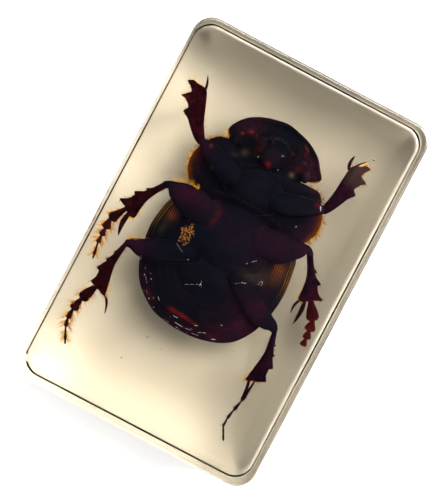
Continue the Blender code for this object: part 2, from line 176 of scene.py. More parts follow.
# The marks that raise each value
MARKS = {
    Value.RUDDY: (
        # Clear red patch at the rear and its lesser neighbours along the margin
        Mark(-2.5, -11.4, 0.75, 0.32, -6, 0.9), Mark(-0.8, -11.5, 1.0, 0.26, -3, 1.0),
        Mark(0.9, -11.7, 0.9, 0.2, -6, 0.6), Mark(-6.9, -10.9, 1.3, 0.4, -45, 0.14),
        Mark(3.9, -12.4, 1.3, 0.4, 15, 0.12),
        # Right hind thigh, and the left edge of the wing cases
        Mark(9.0, -5.0, 1.6, 1.8, 0, 0.03), Mark(-9.3, 1.1, 0.6, 0.7, 0, 0.25),
        # Inner end of the left middle leg
        Mark(-3.1, 4.7, 0.45, 1.2, -12, 0.13), Mark(-3.5, 3.0, 0.45, 1.1, -14, 0.12),
        # Mouth, head and the hollows in front of the fore legs
        Mark(0.0, 14.85, 0.42, 0.42, 0, 0.75), Mark(4.4, 16.3, 0.5, 0.9, -20, 0.24),
        Mark(-5.65, 17.25, 0.35, 0.25, 30, 0.5), Mark(-4.55, 18.1, 0.4, 0.25, 20, 0.55),
        Mark(-3.6, 17.9, 0.25, 0.4, 0, 0.28), Mark(-2.5, 16.0, 0.4, 0.7, 0, 0.2),
        Mark(4.25, 19.6, 0.65, 0.15, -35, 0.45), Mark(4.4, 18.7, 0.4, 0.13, -35, 0.28),
        Mark(2.6, 18.1, 0.25, 0.25, 0, 0.28), Mark(9.6, 12.9, 0.5, 0.3, 0, 0.6),
        Mark(-9.0, 13.4, 0.35, 0.25, 0, 0.4),
        # Thin place beside the right hind hip
        Mark(8.3, -0.4, 1.5, 1.5, 0, 0.1),
        # Foot of the right middle leg
        Mark(17.1, -4.2, 1.5, 4.4, 0, 0.4),
    ),
    Value.PALE: (
        # Small pale spots on the head and about the mouth
        # The spots at (-5.7, 17.3), (-4.5, 18.15), (1.4, 17.15) and (-1.9, 15.25) are painted glints
        Mark(-5.7, 17.3, 0.12, 0.1, 0, 0.8), Mark(-4.5, 18.15, 0.14, 0.1, 0, 0.9),
        Mark(4.0, 19.8, 0.4, 0.07, -30, 0.5), Mark(-4.0, 14.95, 0.55, 0.5, 0, 0.5),
        Mark(-5.2, 13.9, 0.9, 0.3, 20, 0.18), Mark(3.9, 15.15, 0.38, 0.4, 0, 1.0),
        Mark(1.4, 17.15, 0.3, 0.16, 0, 0.6), Mark(-1.9, 15.25, 0.25, 0.14, 30, 0.7),
        Mark(4.9, 17.7, 0.25, 0.2, 0, 0.35), Mark(-9.0, 13.4, 0.2, 0.2, 0, 0.4),
        Mark(-7.4, 10.4, 0.2, 0.3, 0, 0.3),
        # Olive-brown thin places beside the right hind hip and before the left hind thigh
        Mark(5.1, -1.4, 1.6, 0.7, 0, 0.17), Mark(7.2, -0.6, 1.7, 1.2, 0, 0.1),
        Mark(-9.8, -1.1, 0.6, 0.9, 0, 0.16),
    ),
    Value.PURPLE: (
        # Rim of the head and sides of the fore body
        Mark(6.8, 17.4, 1.9, 3.0, 25, 0.9), Mark(-5.2, 19.0, 2.6, 1.5, 30, 0.8),
        Mark(-9.9, 11.3, 1.1, 3.0, 0, 0.9), Mark(10.4, 9.4, 1.2, 2.6, 0, 0.7),
        # Thighs, left hind knee and margin behind
        Mark(-8.2, 5.0, 3.9, 1.8, 10, 0.9), Mark(7.0, 4.9, 5.5, 2.6, 12, 0.6),
        Mark(-11.9, -4.8, 1.7, 1.7, 0, 0.8), Mark(7.5, -7.0, 4.4, 4.2, -20, 0.45),
        Mark(6.2, -10.8, 4.0, 1.6, 35, 0.9), Mark(0.0, -12.9, 5.0, 0.8, 0, 0.7),
        Mark(-8.2, -9.6, 1.0, 3.2, 38, 0.6),
    ),
}


class Slot(Enum):
    """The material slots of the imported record."""

    SHELL = "beetle_shell"
    RESIN = "clear_resin"


@dataclass
class Skin:
    """A closed surface in drawn millimetres, with a number for each point for each of VALUES."""

    points: Array
    quads: Array
    triangles: Array
    thin: Array
    pale: Array
    ruddy: Array
    purple: Array
    streak: Array

    def outward(self) -> "Skin":
        """Turns the faces outwards, which makes their signed volume positive.

        Returns:
            The skin itself, or one with its faces turned.
        """
        fans = np.concatenate([self.quads[:, [0, 1, 2]], self.quads[:, [0, 2, 3]], self.triangles])
        if np.linalg.det(self.points[fans]).sum() >= 0:
            return self
        return replace(self, quads=self.quads[:, ::-1], triangles=self.triangles[:, ::-1])


def skin_of(points: Array, quads: Array, triangles: Array, **values: Array) -> Skin:
    """Makes a skin that faces outwards, with any of VALUES for each point; the others are nought."""
    filled = {name: np.zeros(len(points)) for name in VALUES} | values
    return Skin(points, quads.reshape(-1, 4), triangles.reshape(-1, 3), **filled).outward()


def joined(skins: list[Skin]) -> Skin:
    """Puts several skins into one.

    Args:
        skins: The skins, which may overlap.

    Returns:
        One skin whose face numbers are shifted past the points of the skins before.
    """
    starts = np.cumsum([0] + [len(skin.points) for skin in skins[:-1]])
    return Skin(
        np.concatenate([skin.points for skin in skins]),
        np.concatenate([skin.quads + start for skin, start in zip(skins, starts)]),
        np.concatenate([skin.triangles + start for skin, start in zip(skins, starts)]),
        **{name: np.concatenate([getattr(skin, name) for skin in skins]) for name in VALUES},
    )


def loft(rings: Array, **values: Array) -> Skin:
    """Lays a closed skin through rings of equally many points, with a fan over each end.

    Args:
        rings: Points by ring, then by place around the ring.
        values: Any of VALUES, one number for each ring point.

    Returns:
        The skin. A fan's middle point is the mean of its ring, and so are its values.
    """
    count, sides = rings.shape[:2]
    corner = np.arange(count * sides).reshape(count, sides)
    turned = np.roll(corner, -1, axis=1)
    quads = np.stack([corner[:-1], turned[:-1], turned[1:], corner[1:]], axis=-1)
    first = np.stack([turned[0], corner[0], np.full(sides, count * sides)], axis=-1)
    last = np.stack([corner[-1], turned[-1], np.full(sides, count * sides + 1)], axis=-1)
    points = np.concatenate([rings.reshape(-1, 3), [rings[0].mean(axis=0), rings[-1].mean(axis=0)]])
    spread = {
        name: np.concatenate([value.ravel(), [value[0].mean(), value[-1].mean()]])
        for name, value in values.items()
    }
    return skin_of(points, quads, np.concatenate([first, last]), **spread)


def cubic(before: Array, here: Array, after: Array, beyond: Array, t: Array, slack: float) -> Array:
    """Runs a cubic whose slope at either end is slack times the step between that end's neighbours.

    Args:
        before: The point before the cubic's start.
        here: Its start.
        after: Its end.
        beyond: The point after its end.
        t: How far along it the points lie, from 0 to 1.
        slack: How round it is.

    Returns:
        The points.
    """
    slope_here, slope_after = (after - before) * slack, (beyond - here) * slack
    return (
        here * (2 * t**3 - 3 * t**2 + 1) + slope_here * (t**3 - 2 * t**2 + t)
        + after * (3 * t**2 - 2 * t**3) + slope_after * (t**3 - t**2)
    )


def smooth_loop(points: Points, count: int) -> Array:
    """Draws a closed smooth curve.

    Args:
        points: The points that it runs through, in order around.
        count: How many points to return, evenly spread over the stretches.

    Returns:
        The curve's points.
    """
    points = np.asarray(points, dtype=float)
    place = np.arange(count) * len(points) / count
    index = place.astype(int)
    near = [points[(index + step) % len(points)] for step in (-1, 0, 1, 2)]
    return cubic(*near, (place - index)[:, None], 0.5)


def smooth_path(points: Points, count: int, slack: float = 0.5) -> Array:
    """Draws an open smooth curve through points of any width.

    Args:
        points: The points that it runs through.
        count: How many points to return.
        slack: How round the corners are: 0 gives straight stretches, 0.5 full rounds.

    Returns:
        The curve's points.
    """
    points = np.asarray(points, dtype=float)
    last = len(points) - 1
    place = np.linspace(0, last, count)
    index = np.minimum(place.astype(int), last - 1)
    near = [points[np.clip(index + step, 0, last)] for step in (-1, 0, 1, 2)]
    return cubic(*near, (place - index)[:, None], slack)


def oval(x: float, y: float, wide: float, long: float, turn: float = 0.0, count: int = 16) -> Array:
    """Draws an oval outline: its half sizes times the cosine and the sine of the angle around, then turned.

    Args:
        x: Its middle.
        y: Its middle.
        wide: Half its width.
        long: Half its length.
        turn: How far it is turned anticlockwise, in degrees.
        count: How many points to return.

    Returns:
        The outline's points.
    """
    around = np.arange(count) * 2 * math.pi / count
    flat = np.column_stack([wide * np.cos(around), long * np.sin(around)])
    angle = math.radians(turn)
    spin = np.array([[math.cos(angle), math.sin(angle)], [-math.sin(angle), math.cos(angle)]])
    return flat @ spin + (x, y)


def swell(points: Array, x: float, y: float, wide: float, long: float, turn: float = 0.0) -> Array:
    """Measures a bell-shaped spot over points: 1 at (x, y), and 1/e at wide across or long along.

    Args:
        points: The points.
        x: The spot's middle.
        y: The spot's middle.
        wide: How far the spot reaches across.
        long: How far it reaches along.
        turn: How far it is turned anticlockwise, in degrees.

    Returns:
        The spot's strength at each point.
    """
    cosine, sine = math.cos(math.radians(turn)), math.sin(math.radians(turn))
    right, ahead = points[..., 0] - x, points[..., 1] - y
    across, along = right * cosine + ahead * sine, ahead * cosine - right * sine
    return np.exp(-((across / wide) ** 2) - (along / long) ** 2)


def eased(value: Array, low: float, high: float) -> Array:
    """Rises from 0 at low to 1 at high with level ends: 3 t^2 - 2 t^3."""
    t = np.clip((value - low) / (high - low), 0, 1)
    return t * t * (3 - 2 * t)


def bell(value: Array, middle: float | Array, width: float) -> Array:
    """Rises to 1 at middle and falls to 1/e at width from it: exp(-((value - middle) / width)^2)."""
    return np.exp(-(((value - middle) / width) ** 2))


def unit(ways: Array) -> Array:
    """Brings the rows of an array to a length of one."""
    return ways / np.linalg.norm(ways, axis=1, keepdims=True)


def both_sides(points: Array, x: float, y: float, wide: float, long: float) -> Array:
    """Adds the swell at (x, y) and the same one across the middle line."""
    return swell(points, x, y, wide, long) + swell(points, -x, y, wide, long)


@dataclass
class Lens:
    """A lens over a drawn outline: it domes towards the belly by rise and towards the back by drop.

    Each ring is the outline drawn in to the cosine of its tilt, at a height of the margin plus rise or drop
    times the sine of its tilt. crest shifts the two tops, by one less the cosine. steepest is the tilt of the
    last ring on either side, in degrees, past which a fan closes the lens.
    """

    outline: list
    margin: float
    rise: float
    drop: float
    crest: tuple = (0.0, 0.0)
    count: int = 64
    rows: int = 10
    steepest: float = 88.0

    def rings(self) -> tuple[Array, Array]:
        """Works out the rings.

        Returns:
            The rings from the back to the belly, and the sine of each ring's tilt, -1 at the back.
        """
        flat = smooth_loop(self.outline, self.count)
        middle = flat.mean(axis=0)
        tilt = np.radians(np.linspace(-self.steepest, self.steepest, 2 * self.rows + 1))[:, None, None]
        share = np.cos(tilt)
        level = self.margin + np.where(tilt < 0, self.drop, self.rise) * np.sin(tilt)
        ring = middle + (flat - middle) * share + np.array(self.crest) * (1 - share)
        height = np.broadcast_to(level, (*ring.shape[:2], 1))
        return np.concatenate([ring, height], axis=-1), np.sin(tilt)[..., 0]

    def skin(self, **values: float) -> Skin:
        """Returns the plain lens, with the same values all over."""
        rings, _ = self.rings()
        return loft(rings, **{name: np.full(rings.shape[:2], value) for name, value in values.items()})


@dataclass
class Tube:
    """A limb of oval sections, its width level, with round ends.

    stations holds (x, y, z, half width, half depth). A smooth path runs through them. A point of a section
    lies at its middle, plus half the width times a cosine across and half the depth times a sine over. At
    either end the sections shrink over a quarter round that reaches bulge times the end's half depth beyond
    it, and steepest is the tilt of the last of them, in degrees.
    """

    stations: list
    rows: int = 20
    sides: int = 16
    cap_rows: int = 4
    bulge: float = 1.0
    slack: float = 0.5
    steepest: float = 86.0

    def rings(self) -> Array:
        """Works out the rings.

        Returns:
            The rings from the first station to the last, with the round ends.
        """
        run = smooth_path(self.stations, self.rows, self.slack)
        along = unit(np.gradient(run[:, :3], axis=0))
        cap = np.radians(np.linspace(self.steepest, 90 / self.cap_rows, self.cap_rows))[:, None]
        before = run[0, :3] - along[0] * run[0, 4] * self.bulge * np.sin(cap)
        beyond = run[-1, :3] + along[-1] * run[-1, 4] * self.bulge * np.sin(cap)
        start = np.column_stack([before, run[0, 3:] * np.cos(cap)])
        end = np.column_stack([beyond, run[-1, 3:] * np.cos(cap)])[::-1]
        run = np.concatenate([start, run, end])
        along = np.repeat(along, [1 + self.cap_rows, *[1] * (len(along) - 2), 1 + self.cap_rows], axis=0)
        across = unit(np.cross(along, UP))
        over = np.cross(across, along)
        turn = np.arange(self.sides) * 2 * math.pi / self.sides
        return (
            run[:, None, :3]
            + across[:, None] * (run[:, 3, None] * np.cos(turn))[..., None]
            + over[:, None] * (run[:, 4, None] * np.sin(turn))[..., None]
        )

    def skin(self, **values: float) -> Skin:
        """Returns the plain tube, with the same values all over."""
        rings = self.rings()
        return loft(rings, **{name: np.full(rings.shape[:2], value) for name, value in values.items()})


def strands(roots: Array, ways: Array, lengths: Array, widths: Array, sag: Array, rows: int = 3) -> Skin:
    """Makes tapered hairs of three sides.

    At share t of its length a hair lies at root + way * length * t + sag * length * t^2, and is
    width * (1 - t) from its middle to its corners, so that it ends in a point.

    Args:
        roots: Where each hair starts.
        ways: The direction in which each starts, of length one.
        lengths: How long each is.
        widths: The distance from its middle to its corners at the root.
        sag: How far each bends away by its tip, as a share of its length.
        rows: How many rings a hair has under its tip.

    Returns:
        One skin with every hair.
    """
    count, sides = len(roots), 3
    share = np.linspace(0, 1, rows + 1)
    reach = lengths[:, None, None]
    straight = ways[:, None] * reach * share[:, None]
    path = roots[:, None] + straight + sag[:, None] * reach * share[:, None] ** 2
    # The small push gives a side even to a hair that grows straight up
    across = unit(np.cross(ways, UP) + 1e-6)
    over = np.cross(across, ways)
    turn = np.radians(np.arange(sides) * 120.0)
    corners = across[:, None] * np.cos(turn)[:, None] + over[:, None] * np.sin(turn)[:, None]
    thick = widths[:, None] * (1 - share[:-1])
    rings = path[:, :-1, None] + corners[:, None] * thick[..., None, None]
    points = np.concatenate([rings.reshape(count, -1, 3), path[:, -1:]], axis=1)
    start = (np.arange(count) * points.shape[1])[:, None, None]
    corner = np.arange(rows * sides).reshape(rows, sides)
    turned = np.roll(corner, -1, axis=1)
    walls = np.stack([corner[:-1], turned[:-1], turned[1:], corner[1:]], axis=-1).reshape(-1, 4)
    tips = np.stack([corner[-1], turned[-1], np.full(sides, rows * sides)], axis=-1)
    ends = np.concatenate([tips, corner[:1, ::-1]])
    return skin_of(points.reshape(-1, 3), walls[None] + start, ends[None] + start)


def marked(skin: Skin) -> Skin:
    """Lays MARKS over the belly side of a skin.

    Args:
        skin: The skin, whose values change.

    Returns:
        The same skin. Each mark adds its swell times its strength, and a value never passes 1.
    """
    belly_side = eased(skin.points[:, 2], MARKS_START, MARKS_FULL)
    for value, marks in MARKS.items():
        total = getattr(skin, value.value)
        for mark in marks:
            spot = swell(skin.points, mark.x, mark.y, mark.wide, mark.long, mark.turn)
            total = np.clip(total + mark.strength * spot * belly_side, 0, 1)
        setattr(skin, value.value, total)
    return skin


def placed(points: Array) -> Array:
    """Scales and shifts drawn points to where the beetle lies.

    Args:
        points: Drawn points, whose heights are true already.

    Returns:
        The points in the block's own millimetres.
    """
    moved = np.array(points, dtype=float)
    moved[..., :2] = moved[..., :2] * SCALE + BEETLE_SHIFT
    return moved


def piece_of(
    name: str, skin: Skin, finish: Material, crease: float = 40.0
) -> bpy.types.Object:
    """Turns a skin into a piece of the scene.

    Args:
        name: The piece's name.
        skin: Its surface, in the block's own millimetres.
        finish: Its material.
        crease: The angle in degrees past which an edge stays sharp.

    Returns:
        The piece, riding on the root.
    """
    mesh = bpy.data.meshes.new(name)
    mesh.from_pydata((skin.points * MM).tolist(), [], skin.quads.tolist() + skin.triangles.tolist())
    for value in VALUES:
        mesh.attributes.new(value, "FLOAT", "POINT").data.foreach_set("value", getattr(skin, value))
    mesh.shade_smooth()
    mesh.set_sharp_from_angle(angle=math.radians(crease))
    mesh.materials.append(finish)
    piece = bpy.data.objects.new(name, mesh)
    bpy.context.scene.collection.objects.link(piece)
    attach(piece, "root")
    LOG.info("%s: %d faces", name, len(mesh.polygons))
    return piece


def beetle_piece(name: str, skins: list[Skin], finish: Material, crease: float = 40.0) -> bpy.types.Object:
    """Turns drawn skins into a piece of the beetle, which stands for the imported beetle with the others.

    Args:
        name: The piece's name.
        skins: Its surfaces, as drawn.
        finish: Its material.
        crease: The angle in degrees past which an edge stays sharp.

    Returns:
        The piece.
    """
    skin = marked(joined(skins))
    skin.points = placed(skin.points)
    piece = piece_of(name, skin, finish, crease)
    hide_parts("beetle")
    return piece


class Ground:
    """The belly side of what is already built, to set small things on it."""

    def __init__(self, skins: list[Skin]) -> None:
        """Reads the skins, in drawn millimetres."""
        skin = joined(skins)
        self.tree = BVHTree.FromPolygons(skin.points.tolist(), skin.quads.tolist() + skin.triangles.tolist())

    def heights(self, flat: Array) -> Array:
        """Finds how high the beetle is.

        Args:
            flat: Drawn places, as rows of x and y.

        Returns:
            The height of the beetle's belly side at each, or the margin's height where it isn't.
        """
        down = Vector((0, 0, -1))
        hits = [self.tree.ray_cast(Vector((x, y, BLOCK_HEIGHT)), down)[0] for x, y in flat]
        return np.array([hit.z if hit else MARGIN_HEIGHT for hit in hits])


class NodeSheet:
    """Lays out the nodes of a material or a group."""

    def __init__(self, tree: bpy.types.NodeTree) -> None:
        """Keeps the tree that the nodes go into."""
        self.tree = tree

    def add(self, kind: str, values: dict | None = None, **settings: object) -> bpy.types.Node:
        """Adds a node.

        Args:
            kind: Its type, without the leading ShaderNode.
            values: What its input sockets get, by their name or number: a value or another node's output.
            settings: Values for the node's own properties.

        Returns:
            The node.
        """
        node = self.tree.nodes.new("ShaderNode" + kind)
        for name, value in settings.items():
            setattr(node, name, value)
        for socket, value in (values or {}).items():
            if isinstance(value, Socket):
                self.link(value, node.inputs[socket])
            else:
                node.inputs[socket].default_value = value
        return node

    def link(self, start: Socket, end: Socket) -> None:
        """Joins an output socket to an input socket."""
        self.tree.links.new(start, end)

    def carried(self, value: Value) -> Socket:
        """Returns the output with one of a skin's values."""
        return self.add("Attribute", attribute_name=value.value).outputs["Fac"]

    def mix(self, share: Socket | float, low: object, high: object) -> Socket:
        """Returns the mix of two colours or outputs, where a share of 0 gives low and 1 gives high."""
        low, high = ((*end, 1.0) if isinstance(end, tuple) else end for end in (low, high))
        return self.add("Mix", {0: share, 6: low, 7: high}, data_type="RGBA").outputs[2]

    def maths(self, operation: str, first: object, second: object = 0.0) -> Socket:
        """Returns the result of a Math node's operation on one or two numbers or outputs."""
        return self.add("Math", {0: first, 1: second}, operation=operation).outputs[0]

    def raised(self, value: Socket, low: object, high: object) -> Socket:
        """Returns a value raised smoothly to 0 at low and 1 at high, both of them numbers or outputs."""
        values = {"Value": value, "From Min": low, "From Max": high}
        return self.add("MapRange", values, interpolation_type="SMOOTHSTEP").outputs["Result"]


class GroupSheet(NodeSheet):
    """Lays out the nodes of a group that several materials use, between its inputs and its outputs."""

    def __init__(self, name: str, numbers: tuple, result: str) -> None:
        """Starts the group, which takes a Place and some numbers and gives one number.

        Args:
            name: The group's name.
            numbers: The names of the numbers that it takes.
            result: The name of the number that it gives.
        """
        super().__init__(bpy.data.node_groups.new(name, "ShaderNodeTree"))
        face = self.tree.interface
        face.new_socket("Place", in_out="INPUT", socket_type="NodeSocketVector")
        for number in numbers:
            face.new_socket(number, in_out="INPUT", socket_type="NodeSocketFloat")
        face.new_socket(result, in_out="OUTPUT", socket_type="NodeSocketFloat")
        self.given = self.tree.nodes.new("NodeGroupInput").outputs
        self.result = self.tree.nodes.new("NodeGroupOutput").inputs


def mottle_group() -> bpy.types.NodeTree:
    """Builds blotches, such as those of a dried shell: two sizes of noise, added and raised in contrast.

    Returns:
        The group, whose Mask runs from 0 to 1.
    """
    if "mottle" in bpy.data.node_groups:
        return bpy.data.node_groups["mottle"]
    finer, fine_share = 5.0, 0.4
    clear_below, full_above = 0.55, 0.9
    sheet = GroupSheet("mottle", ("Size",), "Mask")
    place, scale = sheet.given["Place"], sheet.maths("DIVIDE", 1.0, sheet.given["Size"])
    coarse = sheet.add("TexNoise", {"Vector": place, "Scale": scale, "Detail": 3.0, "Roughness": 0.6})
    scale = sheet.maths("MULTIPLY", scale, finer)
    fine = sheet.add("TexNoise", {"Vector": place, "Scale": scale, "Detail": 2.0, "Roughness": 0.5})
    faint = sheet.maths("MULTIPLY", fine.outputs["Fac"], fine_share)
    both = sheet.maths("ADD", coarse.outputs["Fac"], faint)
    sheet.link(sheet.raised(both, clear_below, full_above), sheet.result["Mask"])
    return sheet.tree


def pits_group() -> bpy.types.NodeTree:
    """Builds the small round pits of a beetle's shell, over a fine leathery noise.

    Returns:
        The group, whose Height is low within Width of scattered points and level between them.
    """
    if "shell_pits" in bpy.data.node_groups:
        return bpy.data.node_groups["shell_pits"]
    leather_scale = 9000.0
    sheet = GroupSheet("shell_pits", ("Spacing", "Width"), "Height")
    place, scale = sheet.given["Place"], sheet.maths("DIVIDE", 1.0, sheet.given["Spacing"])
    cells = sheet.add("TexVoronoi", {"Vector": place, "Scale": scale})
    rim = sheet.raised(cells.outputs["Distance"], 0.0, sheet.given["Width"])
    leather = sheet.add("TexNoise", {"Vector": place, "Scale": leather_scale, "Detail": 2.0})
    faint = sheet.maths("MULTIPLY", leather.outputs["Fac"], PIT_TOP - 1.0)
    sheet.link(sheet.maths("ADD", rim, faint), sheet.result["Height"])
    return sheet.tree


def streaks_group() -> bpy.types.NodeTree:
    """Builds streaks along an edge: the sine of Count turns across it, wavered by noise.

    Returns:
        The group, whose Mask is 1 on a streak, and 0 between streaks and off the edge.
    """
    if "edge_streaks" in bpy.data.node_groups:
        return bpy.data.node_groups["edge_streaks"]
    waver_scale, waver_turns = 260.0, 0.9
    edge_starts, line_starts = 0.001, 0.25
    sheet = GroupSheet("edge_streaks", ("Across", "Count"), "Mask")
    waver = sheet.add("TexNoise", {"Vector": sheet.given["Place"], "Scale": waver_scale, "Detail": 2.0})
    turns = sheet.maths("MULTIPLY", sheet.given["Across"], sheet.given["Count"])
    shifted = sheet.maths("ADD", turns, sheet.maths("MULTIPLY", waver.outputs["Fac"], waver_turns))
    wave = sheet.maths("SINE", sheet.maths("MULTIPLY", shifted, 2 * math.pi))
    there = sheet.maths("GREATER_THAN", sheet.given["Across"], edge_starts)
    mask = sheet.maths("MULTIPLY", sheet.raised(wave, line_starts, 1.0), there)
    sheet.link(mask, sheet.result["Mask"])
    return sheet.tree


def fresh_material(name: str) -> tuple[Material, NodeSheet, bpy.types.NodeInputs]:
    """Starts a material.

    Args:
        name: Its name.

    Returns:
        The material, the sheet for its nodes and the input sockets of its surface.
    """
    made = bpy.data.materials.new(name)
    made.use_nodes = True
    return made, NodeSheet(made.node_tree), made.node_tree.nodes["Principled BSDF"].inputs


@dataclass(frozen=True)
class ShellFinish:
    """Dried beetle shell: nearly black, blotched with purple, and amber where it is thin, the amber partly
    its own tone and partly a painted glow of light shining through.

    blotch is the size of the blotches in metres, and purple_share how purple they are. A coloured area is
    uneven_base strong, and uneven_more stronger in the blotches. pit_roughness is added to roughness at the
    bottom of the pits, and level_roughness at the top of the shell between them.
    """

    name: str
    # The blue cast of the near black is partly the shell's own and partly a painted reflection of cool light
    # from above
    dark: tuple = (0.0027, 0.0040, 0.0086)
    purple: tuple = (0.0240, 0.0050, 0.0150)
    amber: tuple = (0.10, 0.024, 0.0025)
    bleached: tuple = (0.090, 0.070, 0.044)
    red: tuple = (0.16, 0.0085, 0.0050)
    streak_light: tuple = (0.40, 0.20, 0.05)
    blotch: float = 0.0026
    purple_share: float = 0.14
    uneven_base: float = 0.55
    uneven_more: float = 0.6
    pit_spacing: float = 0.00034
    pit_width: float = 0.38
    pit_depth: float = 0.00002
    bump_strength: float = 0.9
    roughness: float = 0.42
    pit_roughness: float = 0.2
    level_roughness: float = -0.04
    index: float = 1.1
    gloss: float = 0.03
    streak_count: float = 10.0

    def colour(self, sheet: NodeSheet, place: Socket) -> Socket:
        """Lays purple blotches over the dark shell, then amber, red, bleached and streaked areas; the amber
        and the light streaks are a painted glow of light through thin shell.

        Args:
            sheet: Where the nodes go.
            place: The object coordinates.

        Returns:
            The output with the colour.
        """
        blotches = sheet.add("Group", {"Place": place, "Size": self.blotch}, node_tree=mottle_group())
        values = {"Place": place, "Across": sheet.carried(Value.STREAK), "Count": self.streak_count}
        streaks = sheet.add("Group", values, node_tree=streaks_group())
        more = sheet.maths("MULTIPLY", blotches.outputs["Mask"], self.uneven_more)
        uneven = sheet.maths("ADD", self.uneven_base, more)
        spotted = sheet.maths("MULTIPLY", blotches.outputs["Mask"], self.purple_share)
        share = sheet.maths("ADD", spotted, sheet.maths("MULTIPLY", sheet.carried(Value.PURPLE), uneven))
        base = sheet.mix(share, self.dark, self.purple)
        # Painted glow: amber and light streaks where light shines through the thin shell, over its own amber
        # tone
        glow = sheet.maths("MULTIPLY", sheet.carried(Value.THIN), uneven)
        lit = sheet.mix(glow, base, self.amber)
        flushed = sheet.mix(sheet.maths("MULTIPLY", sheet.carried(Value.RUDDY), uneven), lit, self.red)
        pale = sheet.mix(sheet.carried(Value.PALE), flushed, self.bleached)
        return sheet.mix(sheet.maths("MULTIPLY", streaks.outputs["Mask"], glow), pale, self.streak_light)

    def build(self) -> Material:
        """Builds the material.

        Returns:
            The material, with the colour above, and pits in its relief and its roughness.
        """
        made, sheet, surface = fresh_material(self.name)
        surface["IOR"].default_value = self.index
        surface["Specular IOR Level"].default_value = self.gloss
        place = sheet.add("TexCoord").outputs["Object"]
        sheet.link(self.colour(sheet, place), surface["Base Color"])
        values = {"Place": place, "Spacing": self.pit_spacing, "Width": self.pit_width}
        height = sheet.add("Group", values, node_tree=pits_group()).outputs["Height"]
        deep, level = self.roughness + self.pit_roughness, self.roughness + self.level_roughness
        values = {"Value": height, "From Max": PIT_TOP, "To Min": deep, "To Max": level}
        sheet.link(sheet.add("MapRange", values).outputs["Result"], surface["Roughness"])
        values = {"Height": height, "Strength": self.bump_strength, "Distance": self.pit_depth}
        bump = sheet.add("Bump", values)
        sheet.link(bump.outputs["Normal"], surface["Normal"])
        return made


@dataclass(frozen=True)
class GrainyFinish:
    """Small matter on the beetle, such as hair, mould or air films painted pale as glints, and the floor's
    paper: two colours in patches.

    patch is the size of the patches in metres, in which the roughness differs by as much as rough_range
    either way.
    """

    name: str
    first: tuple
    second: tuple
    patch: float
    roughness: float = 0.6
    rough_range: float = 0.08
    index: float = 1.3

    def build(self) -> Material:
        """Builds the material.

        Returns:
            The material, its colour and roughness mixed by the blotches.
        """
        made, sheet, surface = fresh_material(self.name)
        surface["IOR"].default_value = self.index
        place = sheet.add("TexCoord").outputs["Object"]
        patches = sheet.add("Group", {"Place": place, "Size": self.patch}, node_tree=mottle_group())
        mask = patches.outputs["Mask"]
        sheet.link(sheet.mix(mask, self.first, self.second), surface["Base Color"])
        smooth, dull = self.roughness - self.rough_range, self.roughness + self.rough_range
        rough = sheet.add("MapRange", {"Value": mask, "To Min": smooth, "To Max": dull})
        sheet.link(rough.outputs["Result"], surface["Roughness"])
        return made


@dataclass(frozen=True)
class ResinFinish:
    """Clear cast resin with a faint brownish cream tint and a slightly uneven polish.

    clear and density are the colour and density of what the resin takes away from the light on its way
    through, per metre. wave_size and wave_depth are those of the polish, in metres.
    """

    name: str = "clear_resin_finish"
    clear: tuple = (0.448, 0.39, 0.262)
    density: float = 64.0
    index: float = 1.5
    wave_size: float = 0.011
    wave_depth: float = 0.00002

    def build(self) -> Material:
        """Builds the material.

        Returns:
            The material, with plain transmission and absorption.
        """
        made, sheet, surface = fresh_material(self.name)
        surface["Base Color"].default_value = (1.0, 1.0, 1.0, 1.0)
        surface["Roughness"].default_value = 0.0
        surface["IOR"].default_value = self.index
        surface["Transmission Weight"].default_value = 1.0
        taken = sheet.add("VolumeAbsorption", {"Color": (*self.clear, 1.0), "Density": self.density})
        sheet.link(taken.outputs["Volume"], made.node_tree.nodes["Material Output"].inputs["Volume"])
        place = sheet.add("TexCoord").outputs["Object"]
        waves = sheet.add("TexNoise", {"Vector": place, "Scale": 1 / self.wave_size, "Detail": 1.0})
        values = {"Height": waves.outputs["Fac"], "Strength": 1.0, "Distance": self.wave_depth}
        bump = sheet.add("Bump", values)
        sheet.link(bump.outputs["Normal"], surface["Normal"])
        return made


def joints(ends: list, widths: tuple, sections: tuple, least: float = 0.1, **values: float) -> list[Skin]:
    """Makes a row of joints, each widening towards its far end and starting inside the one before.

    Args:
        ends: Where each joint starts and the last one ends.
        widths: Half the width of each joint.
        sections: The joint's sections, as FOOT_JOINT or PALP_JOINT.
        least: The least half width or depth anywhere.
        values: Any of VALUES, the same all over.

    Returns:
        A skin for each joint.
    """
    made = []
    for start, end, width in zip(ends[:-1], ends[1:], widths):
        start, end = np.array(start), np.array(end)
        stations = [
            (*(start + (end - start) * share), max(width * wide, least), max(width * deep, least))
            for share, wide, deep in sections
        ]
        made.append(Tube(stations, rows=10, sides=14, cap_rows=3, bulge=0.6).skin(**values))
    return made


